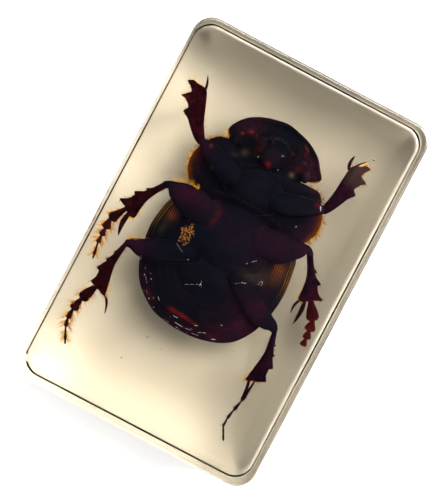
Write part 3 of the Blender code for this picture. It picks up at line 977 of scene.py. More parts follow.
@dataclass
class WingCases:
    """The two wing cases over the back, furrowed lengthwise; their edges turn in under the belly.

    A section at y is an oval about the middle of the outline there. From the seam, which lies lowest, its
    angle runs out past the margin at 90 degrees to turn_in, and the furrows follow fixed angles from end to
    end. The turned edge is streaked from streaks_from, and glows about glow_y.
    """

    furrows: int = 8
    furrow_depth: float = 0.012
    furrow_width: float = 1.1
    seam_depth: float = 0.016
    turn_in: float = 140.0
    turned_rise: float = 0.9
    streaks_from: float = 84.0
    glow: float = 0.75
    glow_y: float = 1.6
    glow_length: float = 2.6
    end_gap: float = 0.03
    columns: int = 280
    rows: int = 84
    inner_columns: int = 6

    def section(self, angle: Array) -> Array:
        """Works out how far each angle lies out: 1, less a bell-shaped dip at each furrow and at the seam.

        Args:
            angle: The angles from the seam, in radians.

        Returns:
            The share of its plain oval that each reaches.
        """
        away = np.abs(np.degrees(angle))
        every = 90.0 / (self.furrows + 1)
        nearest = np.clip(np.round(away / every), 1, self.furrows) * every
        furrow = self.furrow_depth * bell(away, nearest, self.furrow_width)
        seam = self.seam_depth * bell(away, 0.0, self.furrow_width)
        return 1 - furrow - seam

    def skin(self) -> Skin:
        """Works out the wing cases: half the width times the section's sine, and the height times its cosine.

        Returns:
            One closed shell, its inner side flat inside the belly.
        """
        edge = smooth_loop(HIND_BODY, OUTLINE_POINTS)
        front, rear = edge[:, 1].max() - self.end_gap, edge[:, 1].min() + self.end_gap
        y = front + (rear - front) * (1 - np.cos(math.pi * np.linspace(0, 1, self.rows))) / 2
        halves = (edge[edge[:, 0] >= 0], edge[edge[:, 0] < 0])
        right, left = (half[np.argsort(half[:, 1])] for half in halves)
        out_right, out_left = (np.interp(y, half[:, 1], half[:, 0]) for half in (right, left))
        middle, half_width = (out_right + out_left) / 2, (out_right - out_left) / 2
        reach = (front - rear) / 2
        # The end rings keep a little depth, so that their fans stay sound
        depth = np.sqrt(np.clip(1 - ((y - front + reach) / reach) ** 2, 1e-4, 1))
        angle = np.radians(np.linspace(-self.turn_in, self.turn_in, self.columns))
        share = self.section(angle)
        side = np.sin(angle) * share
        under = np.cos(angle) * share
        tall = np.where(under > 0, MARGIN_HEIGHT - BACK_HEIGHT, self.turned_rise)
        x = middle[:, None] + half_width[:, None] * side
        z = MARGIN_HEIGHT - depth[:, None] * tall * under
        shell = np.stack([x, np.broadcast_to(y[:, None], x.shape), z], axis=-1)
        back = np.linspace(1, 0, self.inner_columns + 2)[1:-1, None]
        inside = shell[:, -1:] * back + shell[:, :1] * (1 - back)
        rings = np.concatenate([shell, inside], axis=1)
        turned = np.abs(np.degrees(angle)) - self.streaks_from
        streak = np.zeros(rings.shape[:2])
        streak[:, : self.columns] = np.clip(turned / (self.turn_in - self.streaks_from), 0, 1)
        thin = self.glow * (streak > 0) * bell(rings[..., 1], self.glow_y, self.glow_length)
        return loft(rings, thin=thin, streak=streak)

    def build(self, finish: Material) -> Skin:
        """Makes the piece.

        Args:
            finish: Its material.

        Returns:
            Its skin.
        """
        skin = self.skin()
        beetle_piece("wing_cases", [skin], finish, crease=60)
        return skin


@dataclass
class Belly:
    """The belly, with its lapped plates behind, and the narrow side plates of the hind breast.

    A plate's rear edge stands proud by step of the next plate behind it, and its surface falls evenly to its
    front edge. plates holds the shares of the outline at which they meet, from the margin inwards. The steps
    fade in backwards, between the first and the second distance of steps_fade behind Y = 0.
    """

    plates: tuple = (1.0, 0.93, 0.845, 0.755, 0.66, 0.56)
    innermost: float = 0.03
    step: float = 0.05
    steps_fade: tuple = (-2.5, 4.0)
    lap: float = 0.004
    lift: float = 0.4
    rise: float = 2.8
    drop: float = 2.0
    crest: tuple = (0.0, 1.5)
    rows_each: int = 6
    count: int = 176
    # The first and the last share, and how many there are, of the rings under the margin
    lower_rings: tuple = (0.05, 0.98, 8)
    # x, y, half width, half length and strength of the thin place on either side, painted light brown as a
    # glow of light through it
    thin_places: tuple = ((8.9, 1.0, 1.2, 1.7, 0.42), (-9.6, 1.6, 0.8, 1.2, 0.3))
    side_plate: tuple = (
        (7.0, 4.9), (9.0, 4.6), (10.1, 2.4), (10.3, -0.6), (9.9, -3.2), (9.0, -4.6), (8.3, -3.4), (7.7, 0.0),
    )
    side_shift: float = -0.15
    # How far out a side plate's streaks begin and how wide they are, and where they fade in along it
    streaks_from: float = 6.8
    streaks_width: float = 3.6
    streaks_fade: tuple = (-1.5, 0.5)

    def shaded(self, rings: Array, **values: Array) -> Skin:
        """Lofts rings with the thin places laid over them."""
        thin = sum(swell(rings, *place[:4]) * place[4] for place in self.thin_places)
        return loft(rings, thin=np.clip(thin, 0, 1), **values)

    def plated(self) -> Skin:
        """Works out the belly: rings that stand at rise or drop times their sine, and the plates on them.

        Returns:
            The belly's skin.
        """
        flat = smooth_loop(HIND_BODY, self.count) * BELLY_SHARE
        middle = flat.mean(axis=0)
        ends = [*self.plates, self.innermost]
        shares = [np.linspace(rear - self.lap, front, self.rows_each) for rear, front in zip(ends, ends[1:])]
        raised = [self.step * np.linspace(1, 0, self.rows_each)] * len(shares)
        upper = np.concatenate(shares)[:, None, None]
        proud = np.concatenate(raised)[:, None]
        lower = np.linspace(*self.lower_rings)[:, None, None]
        under = len(lower)
        share = np.concatenate([lower, upper])
        sine = np.sqrt(1 - share**2)
        domed = np.concatenate([-self.drop * sine[:under], self.rise * sine[under:]])
        level = MARGIN_HEIGHT + self.lift + domed
        ring = middle + (flat - middle) * share + np.array(self.crest) * (1 - share)
        rings = np.concatenate([ring, np.broadcast_to(level, (*ring.shape[:2], 1))], axis=-1)
        rings[under:, :, 2] += proud * eased(-rings[under:, :, 1], *self.steps_fade)
        return self.shaded(rings)

    def side_plates(self) -> list[Skin]:
        """Works out the long plate between the breast and the wing case's edge, on either side.

        Returns:
            The two skins, streaked evenly outwards.
        """
        plates = []
        for side in (1, -1):
            outline = [(x * side + self.side_shift, y) for x, y in self.side_plate]
            rings, _ = Lens(outline, margin=11.5, rise=0.75, drop=1.0, count=72, rows=12).rings()
            across = np.clip((np.abs(rings[..., 0]) - self.streaks_from) / self.streaks_width, 0.01, 1)
            plates.append(self.shaded(rings, streak=across * eased(rings[..., 1], *self.streaks_fade)))
        return plates

    def build(self, finish: Material) -> list[Skin]:
        """Makes the pieces.

        Args:
            finish: Their material.

        Returns:
            Their skins.
        """
        belly, sides = self.plated(), self.side_plates()
        beetle_piece("belly", [belly], finish, crease=50)
        beetle_piece("side_plates", sides, finish)
        return [belly, *sides]


@dataclass
class Breast:
    """The breast plate between the middle and hind legs, with the hips of both pairs.

    The plate is a lens, less a groove along its middle and a dent on either side, plus a bead. All three are
    bell-shaped, and bead_place is the sine of the tilt at which the bead runs.
    """

    groove_depth: float = 0.14
    groove_width: float = 0.32
    dent_depth: float = 0.18
    # x, y, half width and half length of the right dent
    dent: tuple = (2.6, 0.6, 1.2, 2.0)
    bead: float = 0.1
    bead_place: float = 0.35
    bead_width: float = 0.08
    # x, y, half width, half length, turn, margin height and rise of the right hip of each pair
    middle_hip: tuple = (3.7, 4.0, 1.35, 2.5, -8.0, 13.2, 1.1)
    hind_hip: tuple = (5.2, -3.6, 4.4, 1.5, -22.0, 12.2, 1.0)
    hip_shift: float = -0.1

    def plate(self) -> Skin:
        """Works out the breast plate.

        Returns:
            Its skin.
        """
        rings, sine = Lens(BREAST_PLATE, margin=12.4, rise=2.2, drop=3.0, count=128, rows=24).rings()
        belly_side = np.clip(sine, 0, 1)
        groove = self.groove_depth * bell(rings[..., 0], 0.0, self.groove_width)
        dents = self.dent_depth * both_sides(rings, *self.dent)
        bead = self.bead * bell(belly_side, self.bead_place, self.bead_width) * (belly_side > 0)
        rings[..., 2] += bead - (groove + dents) * belly_side
        return loft(rings)

    def hips(self) -> list[Skin]:
        """Works out the hips.

        Returns:
            The four skins, each a lens over a turned oval.
        """
        made = []
        for x, y, wide, long, turn, margin, rise in (self.middle_hip, self.hind_hip):
            for side in (1, -1):
                outline = oval(x * side + self.hip_shift, y, wide, long, turn * side)
                made.append(Lens(outline, margin, rise, drop=1.4, count=64, rows=14).skin(thin=0.08))
        return made

    def build(self, finish: Material) -> list[Skin]:
        """Makes the pieces.

        Args:
            finish: Their material.

        Returns:
            Their skins.
        """
        plate, hips = self.plate(), self.hips()
        beetle_piece("breast_plate", [plate], finish)
        beetle_piece("hips", hips, finish)
        return [plate, *hips]


@dataclass
class ForeBody:
    """The fore body: a broad shield over the back, the sides turned under, the fore breast and the fore hips.

    The shield is a lens, less a groove where the tilt's sine is groove_place, and less the hollow on either
    side that a fore thigh folds into. A shallow furrow runs along the middle of its back.
    """

    groove_depth: float = 0.10
    groove_place: float = 0.30
    groove_width: float = 0.09
    furrow_depth: float = 0.10
    furrow_width: float = 0.3
    furrow_fade: tuple = (-10.5, -6.0)
    hollow_depth: float = 0.35
    # x, y, half width and half length of the right hollow
    hollow: tuple = (7.6, 12.6, 2.0, 1.1)
    # The amber glow of the thin sides: how strong, about which y, how long, how wide, and from how far out
    glow: float = 1.6
    glow_y: float = 9.6
    glow_length: float = 3.2
    glow_width: float = 0.55
    glow_from: float = 7.0
    # x, y, half width, half length and turn of the right hip
    fore_hip: tuple = (3.6, 10.5, 2.5, 1.7, 8.0)

    def shield(self) -> Skin:
        """Works out the shield.

        Returns:
            Its skin, thin towards the outline at the sides.
        """
        rings, sine = Lens(FORE_BODY, MARGIN_HEIGHT, rise=1.6, drop=6.9, count=192, rows=26).rings()
        hollows = both_sides(rings, *self.hollow)
        groove = bell(np.abs(sine), self.groove_place, self.groove_width) * self.groove_depth
        along = eased(-rings[..., 1], *self.furrow_fade)
        furrow = self.furrow_depth * bell(rings[..., 0], 0.0, self.furrow_width) * along
        outward = np.where(sine > 0, 1.0, -1.0)
        rings[..., 2] -= outward * groove + np.clip(sine, 0, 1) * self.hollow_depth * hollows
        rings[..., 2] += np.clip(-sine, 0, 1) * furrow
        inset = np.linalg.norm(rings[..., :2] - smooth_loop(FORE_BODY, rings.shape[1]), axis=-1)
        sides = np.abs(rings[..., 0]) > self.glow_from
        glow = self.glow * bell(rings[..., 1], self.glow_y, self.glow_length) * sides
        return loft(rings, thin=glow * bell(inset, 0.0, self.glow_width))

    def underside(self) -> list[Skin]:
        """Works out the fore breast and the two fore hips.

        Returns:
            The three skins.
        """
        breast = Lens(FORE_BREAST, MARGIN_HEIGHT + 1.4, rise=2.3, drop=3.0, count=64, rows=14).skin()
        x, y, wide, long, turn = self.fore_hip
        outlines = [oval(x * side, y, wide, long, turn * side) for side in (1, -1)]
        hips = [
            Lens(outline, margin=12.2, rise=1.35, drop=1.6, count=64, rows=14).skin(thin=0.05)
            for outline in outlines
        ]
        return [breast, *hips]

    def build(self, finish: Material) -> list[Skin]:
        """Makes the pieces.

        Args:
            finish: Their material.

        Returns:
            Their skins.
        """
        shield, under = self.shield(), self.underside()
        beetle_piece("fore_body", [shield], finish)
        beetle_piece("fore_breast", under, finish)
        return [shield, *under]


@dataclass
class Head:
    """The head: a flat half-round shield with a turned-up rim, eyes, mouthparts and feelers below.

    The shield is a lens, plus a bell-shaped rim and less a dish where the tilt's sine is rim_place and
    dish_place. Both fade in over the y of front. ridge gives the x, y, half width, half length and height of
    the ridge across its back.
    """

    rim: float = 0.22
    rim_place: float = 0.28
    rim_width: float = 0.14
    dish: float = 0.30
    dish_place: float = 0.62
    dish_width: float = 0.16
    front: tuple = (15.5, 18.0)
    ridge: tuple = (0.0, 16.4, 3.4, 0.5, 0.55)
    # x, y, half width, half length, turn, margin height and rise of the right eye
    eye: tuple = (5.9, 15.9, 0.75, 1.0, 15.0, 10.3, 0.55)
    # Ends of the palps' joints on the right, and half the width of each joint
    lip_palp: tuple = ((0.7, 17.2, 12.0), (0.95, 17.9, 12.2), (1.25, 18.5, 12.1), (1.3, 19.2, 11.9))
    lip_widths: tuple = (0.2, 0.22, 0.2)
    jaw_palp: tuple = (
        (2.3, 16.6, 11.5), (3.1, 17.1, 11.7), (3.5, 17.9, 11.6), (3.3, 18.7, 11.4), (2.7, 19.5, 11.2),
    )
    jaw_widths: tuple = (0.22, 0.26, 0.24, 0.26)
    # Base and elbow of each feeler and the middle of its club
    feelers: tuple = (
        ((-5.0, 15.7, 10.9), (-6.2, 17.1, 10.8), (-4.5, 18.1, 11.0)),
        ((5.2, 16.0, 10.9), (5.9, 18.0, 10.7), (4.0, 19.5, 10.9)),
    )
    stem_width: float = 0.2
    bead_widths: tuple = (0.13, 0.14, 0.15, 0.16, 0.18)
    beads_end: float = 0.72
    club_plates: int = 3
    plate_step: float = 0.34
    plate_rise: float = 0.05

    def shield(self) -> Skin:
        """Works out the shield.

        Returns:
            Its skin, a little thin along the margin, where a faint painted glow of light through it shows.
        """
        crest = (0.0, -1.6)
        lens = Lens(HEAD, MARGIN_HEIGHT - 0.6, rise=0.9, drop=2.4, crest=crest, count=192, rows=26)
        rings, sine = lens.rings()
        front = eased(rings[..., 1], *self.front)
        rim = self.rim * bell(sine, self.rim_place, self.rim_width) * front
        below = bell(np.clip(sine, 0, 1), self.dish_place, self.dish_width)
        dish = self.dish * below * front * (sine > 0)
        *spot, tall = self.ridge
        ridge = tall * swell(rings, *spot) * np.clip(-sine, 0, 1)
        rings[..., 2] += rim - dish - ridge
        return loft(rings, thin=np.zeros(rings.shape[:2]) + 0.12 * eased(1 - np.abs(sine), 0.8, 1.0))

    def eyes(self) -> list[Skin]:
        """Works out the eyes.

        Returns:
            The two skins, each a lens over a turned oval.
        """
        x, y, wide, long, turn, margin, rise = self.eye
        outlines = [oval(x * side, y, wide, long, turn * side) for side in (1, -1)]
        return [Lens(outline, margin, rise, drop=0.5, count=32, rows=10).skin() for outline in outlines]

    def mouth(self) -> list[Skin]:
        """Works out the mouth's mound, the chin plate and the two jaw pads.

        Returns:
            The four skins, each a lens.
        """
        chin = oval(0.0, 16.1, 1.45, 1.75)
        pads = [oval(2.25 * side, 17.0, 0.75, 1.35, -18.0 * side) for side in (1, -1)]
        return [
            Lens(MOUTH, MARGIN_HEIGHT, rise=1.9, drop=1.0, count=64, rows=14).skin(),
            Lens(chin, margin=11.5, rise=0.75, drop=0.6, count=48, rows=10).skin(thin=0.03),
            *(Lens(pad, margin=11.1, rise=0.55, drop=0.5, count=40, rows=8).skin(thin=0.06) for pad in pads),
        ]

    def palps(self) -> list[Skin]:
        """Works out the four palps.

        Returns:
            A skin for each joint.
        """
        made = []
        for side in (1, -1):
            for points, widths in ((self.lip_palp, self.lip_widths), (self.jaw_palp, self.jaw_widths)):
                ends = [(x * side, y, z) for x, y, z in points]
                made += joints(ends, widths, PALP_JOINT, thin=0.05)
        return made

    def feeler_skins(self) -> list[Skin]:
        """Works out the feelers: a long first joint, small beads and a club of leaf-shaped plates.

        Returns:
            A skin for each joint and each plate.
        """
        made = []
        for base, elbow, club in self.feelers:
            base, elbow, club = np.array(base), np.array(elbow), np.array(club)
            made += joints([base, elbow], (self.stem_width,), PALP_JOINT, thin=0.05)
            share = np.linspace(0, self.beads_end, len(self.bead_widths) + 1)
            beads = elbow + (club - elbow) * share[:, None]
            made += joints(list(beads), self.bead_widths, PALP_JOINT, thin=0.06)
            lean = math.degrees(math.atan2(club[1] - elbow[1], club[0] - elbow[0]))
            for number in range(self.club_plates):
                shift = (number - (self.club_plates - 1) / 2) * self.plate_step
                leaf = oval(club[0], club[1] + shift, 0.95, 0.3, lean)
                margin = club[2] + self.plate_rise * number
                made.append(Lens(leaf, margin, rise=0.17, drop=0.17, count=32, rows=6).skin(thin=0.07))
        return made

    def build(self, finish: Material, eye_finish: Material) -> list[Skin]:
        """Makes the pieces.

        Args:
            finish: The material of all but the eyes.
            eye_finish: The eyes' material.

        Returns:
            The skins that small things may sit on.
        """
        shield, mouth = self.shield(), self.mouth()
        beetle_piece("head_shield", [shield], finish)
        beetle_piece("mouthparts", mouth + self.palps(), finish)
        beetle_piece("feelers", self.feeler_skins(), finish)
        beetle_piece("eyes", self.eyes(), eye_finish)
        return [shield, *mouth]


@dataclass
class Leg:
    """One leg, from hip to foot, in drawn millimetres.

    thigh holds (x, y, z, half width, half depth) stations. The shin's inner and outer edges are laid from
    knee to ankle, and turn tips them about the shin's own length, in degrees. foot holds the ends of the
    foot joints and foot_widths half the width of each. spurs holds (base, tip, radius, bend) for each. side
    is -1 on the left and 1 on the right. The shin turns pale from faded on, over pale_run, and glows at its
    teeth, from glow_from to glow_to. foot_coat holds the coat, count, length and half width of the hairs at
    either side of a foot joint. shin_down golden hairs grow along each edge of the shin, and inner_down and
    outer_down at the corners of its end.
    """

    name: str
    side: int
    thigh: list
    inner: list
    outer: list
    knee: tuple
    ankle: tuple
    turn: float = 0.0
    foot: list = field(default_factory=list)
    foot_widths: tuple = ()
    spurs: tuple | list = ()
    faded: float = 99.0
    clawed: bool = True
    joint_form: tuple = FOOT_JOINT
    foot_coat: tuple = ((Coat.DOWN, 36, 1.05, 0.028), (Coat.LONG, 13, 1.5, 0.036))
    shin_down: int = 20
    inner_down: int = 14
    outer_down: int = 12
    shin_rows: int = 110
    inner_rows: int = 80
    shin_columns: int = 13
    outer_slack: float = 0.32
    inner_slack: float = 0.4
    edge_thickness: float = 0.2
    middle_thickness: float = 0.42
    edge_power: float = 6
    rib_place: float = 0.5
    rib_width: float = 0.6
    rib_fade: float = 0.5
    rib_whole: float = 0.55
    full_width: float = 0.9
    least_end: float = 0.25
    pale: float = 0.19
    pale_run: float = 1.6
    glow: float = 0.08
    glow_from: float = 1.6
    glow_to: float = 3.4
    spur_flatness: float = 0.8

    def frame(self) -> tuple[Array, Array, Array]:
        """Works out the shin's own axes from its knee, its ankle and its turn.

        Returns:
            The ways along it, across it away from the body, and square to both.
        """
        along = np.subtract(self.ankle, self.knee)
        along /= np.linalg.norm(along)
        level = np.cross(UP, along)
        level *= self.side * np.sign(level[0]) / np.linalg.norm(level)
        square = np.cross(along, level)
        turn = math.radians(self.turn)
        across = level * math.cos(turn) + square * math.sin(turn)
        return along, across, np.cross(along, across)

    def on_shin(self, flat: Array) -> Array:
        """Lays points given along and across the shin into the drawing."""
        along, across, _ = self.frame()
        return self.knee + flat[..., :1] * along + flat[..., 1:2] * across

    def shin(self) -> Skin:
        """Makes the toothed blade of the shin.

        Each section is ruled from the inner to the outer edge. Its half thickness is that of the edge plus a
        bell-shaped rib near the inner side. The rib fades towards the foot, from rib_whole of the length on,
        and a section narrower than full_width is thinner in proportion, but not under least_end. At both
        edges the thickness falls to nothing over a full round.

        Returns:
            The closed blade.
        """
        _, _, square = self.frame()
        outer = smooth_path(self.outer, self.shin_rows, self.outer_slack)
        inner_run = smooth_path(self.inner, self.inner_rows, self.inner_slack)
        reach = np.clip(outer[:, 0], self.inner[0][0], self.inner[-1][0])
        inner = np.column_stack([reach, np.interp(reach, inner_run[:, 0], inner_run[:, 1])])
        share = (1 - np.cos(math.pi * np.linspace(0, 1, self.shin_columns))) / 2
        flat = inner[:, None] + (outer - inner)[:, None] * share[None, :, None]
        length = self.outer[-1][0]
        left = 1 - self.rib_fade * eased(flat[..., 0], self.rib_whole * length, length)
        rib = bell(flat[..., 1], self.rib_place, self.rib_width) * left
        width = np.linalg.norm(outer - inner, axis=1)[:, None]
        round_off = np.sqrt(np.clip(1 - np.abs(2 * share - 1) ** self.edge_power, 0, 1))
        ends = np.clip(width / self.full_width, self.least_end, 1)
        half = (self.edge_thickness + self.middle_thickness * rib) * round_off * ends
        rise = square * half[..., None]
        upper, lower = self.on_shin(flat) + rise, self.on_shin(flat) - rise
        around = np.concatenate([flat, flat[:, -2:0:-1]], axis=1)
        pale = self.pale * eased(around[..., 0], self.faded, self.faded + self.pale_run)
        thin = self.glow * eased(around[..., 1], self.glow_from, self.glow_to)
        return loft(np.concatenate([upper, lower[:, -2:0:-1]], axis=1), pale=pale, thin=thin)

    def foot_skins(self) -> list[Skin]:
        """Makes the foot joints and, at the last, a pair of claws.

        Returns:
            Their skins.
        """
        if not self.foot:
            return []
        made = joints(self.foot, self.foot_widths, self.joint_form, least=0.14, thin=0.03)
        if not self.clawed:
            return made
        tip, before = np.array(self.foot[-1]), np.array(self.foot[-2])
        along = (tip - before) / np.linalg.norm(tip - before)
        level = np.cross(along, UP)
        for way in (-1, 1):
            stations = [
                (*(tip + along * far + level * way * aside + UP * rise), wide, deep)
                for far, aside, rise, wide, deep in CLAW
            ]
            made.append(Tube(stations, rows=8, sides=8, cap_rows=2).skin(thin=0.1))
        return made

    def spur_skins(self) -> list[Skin]:
        """Makes the spurs at the end of the shin.

        Returns:
            Their skins. At share t of its length a spur lies bend * t * (1 - t) of its length to the side.
        """
        made = []
        for base, tip, radius, bend in self.spurs:
            base, tip = np.array(base), np.array(tip)
            aside = np.cross(tip - base, UP) * bend
            stations = []
            for share, left in SPUR_TAPER:
                place = base + (tip - base) * share + aside * share * (1 - share)
                stations.append((*place, radius * left, radius * left * self.spur_flatness))
            made.append(Tube(stations, rows=14, sides=12, cap_rows=3).skin(thin=0.04))
        return made

    def build(self, thigh_finish: Material, finish: Material) -> list[Skin]:
        """Makes the leg's pieces.

        Args:
            thigh_finish: The finish of the thigh.
            finish: That of the rest.

        Returns:
            The skins of the thigh and the shin.
        """
        thigh = Tube(self.thigh, rows=36, sides=28, cap_rows=8).skin()
        shin = self.shin()
        beetle_piece(self.name + "_thigh", [thigh], thigh_finish)
        beetle_piece(self.name + "_shin", [shin], finish, crease=50)
        small = self.foot_skins() + self.spur_skins()
        if small:
            beetle_piece(self.name + "_foot", small, finish)
        return [thigh, shin]

    def row(self, flat: Array, toward: int, count: int, length: float, **options: object) -> "Fringe":
        """Starts a row of hairs along an edge of the shin.

        Args:
            flat: Points of the edge, along and across the shin.
            toward: 1 for hairs that grow away from the body, -1 for hairs that grow towards it.
            count: How many hairs.
            length: How long they are.
            options: Any other field of Fringe.

        Returns:
            The row.
        """
        along, across, _ = self.frame()
        outward = int(np.sign(np.dot(np.cross(along, UP), across)))
        return Fringe(self.on_shin(flat).tolist(), count, length, outward * toward, **options)

    def fringes(self) -> list["Fringe"]:
        """Lists the rows of hairs of the leg.

        Returns:
            Bristles along the shin, golden down there and at its end, and the hairs of the foot.
        """
        # Hairs grow from a little inside the edges of the shin, which is bare near the knee
        inner_inset, outer_inset, outward, bare = 0.08, 0.1, 0.05, 0.25
        # Where they start along a foot joint, and how far out they root at its start and its end
        joint_bare, near, far = 0.3, 0.5, 0.85
        inner = np.array(self.inner) + (0, inner_inset)
        least = bare * self.outer[-1][0]
        corner = np.array([point for point in self.outer if point[0] > least]) - (0, outer_inset)
        outer = corner + (0, outward)
        made = [
            self.row(inner, -1, 30, 0.85, sweep=0.6, width=0.018, coat=Coat.DARK),
            self.row(outer, 1, 22, 0.75, sweep=0.7, width=0.034, coat=Coat.DARK),
            self.row(inner, -1, self.shin_down, 0.6, sweep=0.6, width=0.022),
            self.row(outer, 1, self.shin_down, 0.7, sweep=0.5, spread=30.0, width=0.026),
            self.row(inner[-3:], -1, self.inner_down, 0.9, sweep=0.7, spread=30.0, width=0.034),
            self.row(corner[-5:], 1, self.outer_down, 0.8, sweep=0.7, spread=30.0, width=0.034),
        ]
        for start, end, width in zip(self.foot[:-1], self.foot[1:], self.foot_widths):
            start, end = np.array(start), np.array(end)
            level = np.cross(end - start, UP)
            level /= np.linalg.norm(level)
            for way in (-1, 1):
                aside = level * way * width
                edge = [start + (end - start) * joint_bare + aside * near, end + aside * far]
                made += [
                    Fringe(edge, count, reach, way, sweep=0.75, spread=28.0, width=thick, coat=coat)
                    for coat, count, reach, thick in self.foot_coat
                ]
        return made


@dataclass
class Fringe:
    """A row of hairs along a path, on its right where side is 1 and on its left where it is -1.

    A hair starts level and square to the path. sweep leans it on along the path, spread turns it at random
    by that many degrees, and lift raises it, at random by lift_spread more or less. scatter moves its root
    up or down at random. Its length is length times a number drawn from share, and its tip bends on along
    the path by a number drawn from bend, and down by droop, both as shares of its length.
    """

    path: Points
    count: int
    length: float
    side: int
    sweep: float = 0.25
    spread: float = 22.0
    lift: float = 0.1
    width: float = 0.025
    scatter: float = 0.12
    coat: Coat = Coat.DOWN
    lift_spread: float = 0.18
    share: tuple = (0.45, 1.15)
    bend: tuple = (-0.05, 0.3)
    droop: float = 0.08
    path_points: int = 240

    def skin(self, seed: int) -> Skin:
        """Makes the hairs.

        Args:
            seed: Starts the random numbers.

        Returns:
            One skin with every hair of the row.
        """
        chance = np.random.default_rng(seed)
        run = smooth_path(self.path, self.path_points)
        slope = unit(np.gradient(run, axis=0))
        at = chance.uniform(0, len(run) - 1, self.count).astype(int)
        along = slope[at]
        out = np.cross(along, UP) * self.side
        turn = np.radians(chance.normal(0, self.spread, self.count))[:, None]
        lift = chance.normal(self.lift, self.lift_spread, self.count)[:, None]
        ways = unit(out * np.cos(turn) + along * (np.sin(turn) + self.sweep) + UP * lift)
        roots = run[at] + UP * chance.normal(0, self.scatter, self.count)[:, None]
        lengths = self.length * chance.uniform(*self.share, self.count)
        sag = along * chance.uniform(*self.bend, self.count)[:, None] - UP * self.droop
        return strands(roots, ways, lengths, np.full(self.count, self.width), sag)


@dataclass
class Hair:
    """The hairs of the trunk and head. Each leg brings its own."""

    left_side: tuple = ((-9.7, 14.0, 10.1), (-10.75, 12.0, 10.1), (-10.95, 9.9, 10.1), (-10.3, 8.2, 10.1))
    right_side: tuple = ((10.9, 12.0, 10.1), (11.5, 9.7, 10.1), (11.2, 8.2, 10.1), (10.6, 7.2, 10.1))
    left_corner: tuple = ((-7.4, 15.6, 10.3), (-8.8, 15.1, 10.3), (-9.8, 14.0, 10.3))
    right_corner: tuple = ((7.2, 14.9, 10.3), (9.0, 14.7, 10.3), (10.0, 13.6, 10.3))
    hips: tuple = ((-6.0, 7.4, 12.2), (-2.0, 8.0, 13.2), (2.0, 8.0, 13.2), (6.0, 7.4, 12.2))
    mouth: tuple = (
        (-2.4, 17.8, 11.8), (-1.2, 18.6, 12.0), (0.0, 18.9, 12.0), (1.2, 18.6, 12.0), (2.4, 17.8, 11.8)
    )

    def rows(self) -> list[Fringe]:
        """Lists the rows of hairs.

        Returns:
            The rows, in the order of their random numbers.
        """
        return [
            # Sides and front corners of the fore body
            Fringe(self.left_side, 130, 0.85, 1, width=0.03),
            Fringe(self.left_side, 30, 1.2, 1, spread=34.0, width=0.046, coat=Coat.LONG),
            Fringe([(-10.6, 8.8, 10.1), (-10.0, 7.9, 10.1), (-9.7, 7.5, 10.1)], 14, 0.7, 1, width=0.024),
            Fringe(self.right_side, 90, 1.1, -1, spread=30.0, width=0.032),
            Fringe(self.right_side, 44, 1.4, -1, spread=36.0, width=0.046, coat=Coat.LONG),
            Fringe(self.left_corner, 40, 0.75, 1, spread=32.0),
            Fringe(self.left_corner, 28, 1.2, 1, spread=42.0, width=0.046, coat=Coat.LONG),
            Fringe(self.right_corner, 30, 0.75, -1, spread=32.0),
            Fringe(self.right_corner, 26, 1.15, -1, spread=42.0, width=0.046, coat=Coat.LONG),
            # Rear corners of the head
            Fringe([(-7.2, 15.9, 9.8), (-7.8, 16.8, 9.8)], 26, 0.8, -1),
            Fringe([(7.0, 15.5, 9.8), (8.2, 16.4, 9.8)], 22, 0.8, 1),
            # Front edges of the left middle and hind thighs and of the right middle thigh
            Fringe([(-7.6, 6.5, 13.4), (-9.6, 6.7, 13.2), (-11.4, 6.0, 12.8)], 75, 1.0, 1, width=0.024),
            Fringe([(-11.0, -4.1, 12.6), (-12.6, -4.6, 12.2), (-13.4, -5.1, 11.9)], 60, 0.9, 1, width=0.03),
            Fringe([(8.2, 7.2, 13.3), (10.0, 7.2, 13.1), (11.2, 6.9, 12.9)], 40, 0.4, -1, coat=Coat.DARK),
            # Front of the fore thighs
            Fringe([(-4.2, 12.2, 13.0), (-7.4, 13.4, 12.9), (-9.6, 14.0, 12.4)], 110, 0.6, 1, coat=Coat.DARK),
            Fringe([(4.2, 12.0, 13.0), (7.4, 12.9, 12.9), (9.8, 13.5, 12.4)], 110, 0.6, -1, coat=Coat.DARK),
            # Between the fore and the middle hips, and about the mouth
            Fringe(self.hips, 140, 0.6, -1, coat=Coat.DARK),
            Fringe(self.mouth, 120, 0.75, -1, coat=Coat.DARK),
        ]

    def build(self, legs: list[Leg], finishes: dict[Coat, Material]) -> None:
        """Makes one piece for each coat, with the hairs of the trunk, the head and the legs.

        Args:
            legs: The legs, which say where their own hairs grow.
            finishes: The finish of each coat.
        """
        rows = [*self.rows(), *(row for leg in legs for row in leg.fringes())]
        seeded = [(HAIR_SEED + number, row) for number, row in enumerate(rows) if row.count]
        for coat, finish in finishes.items():
            beetle_piece(coat.value, [row.skin(seed) for seed, row in seeded if row.coat is coat], finish)


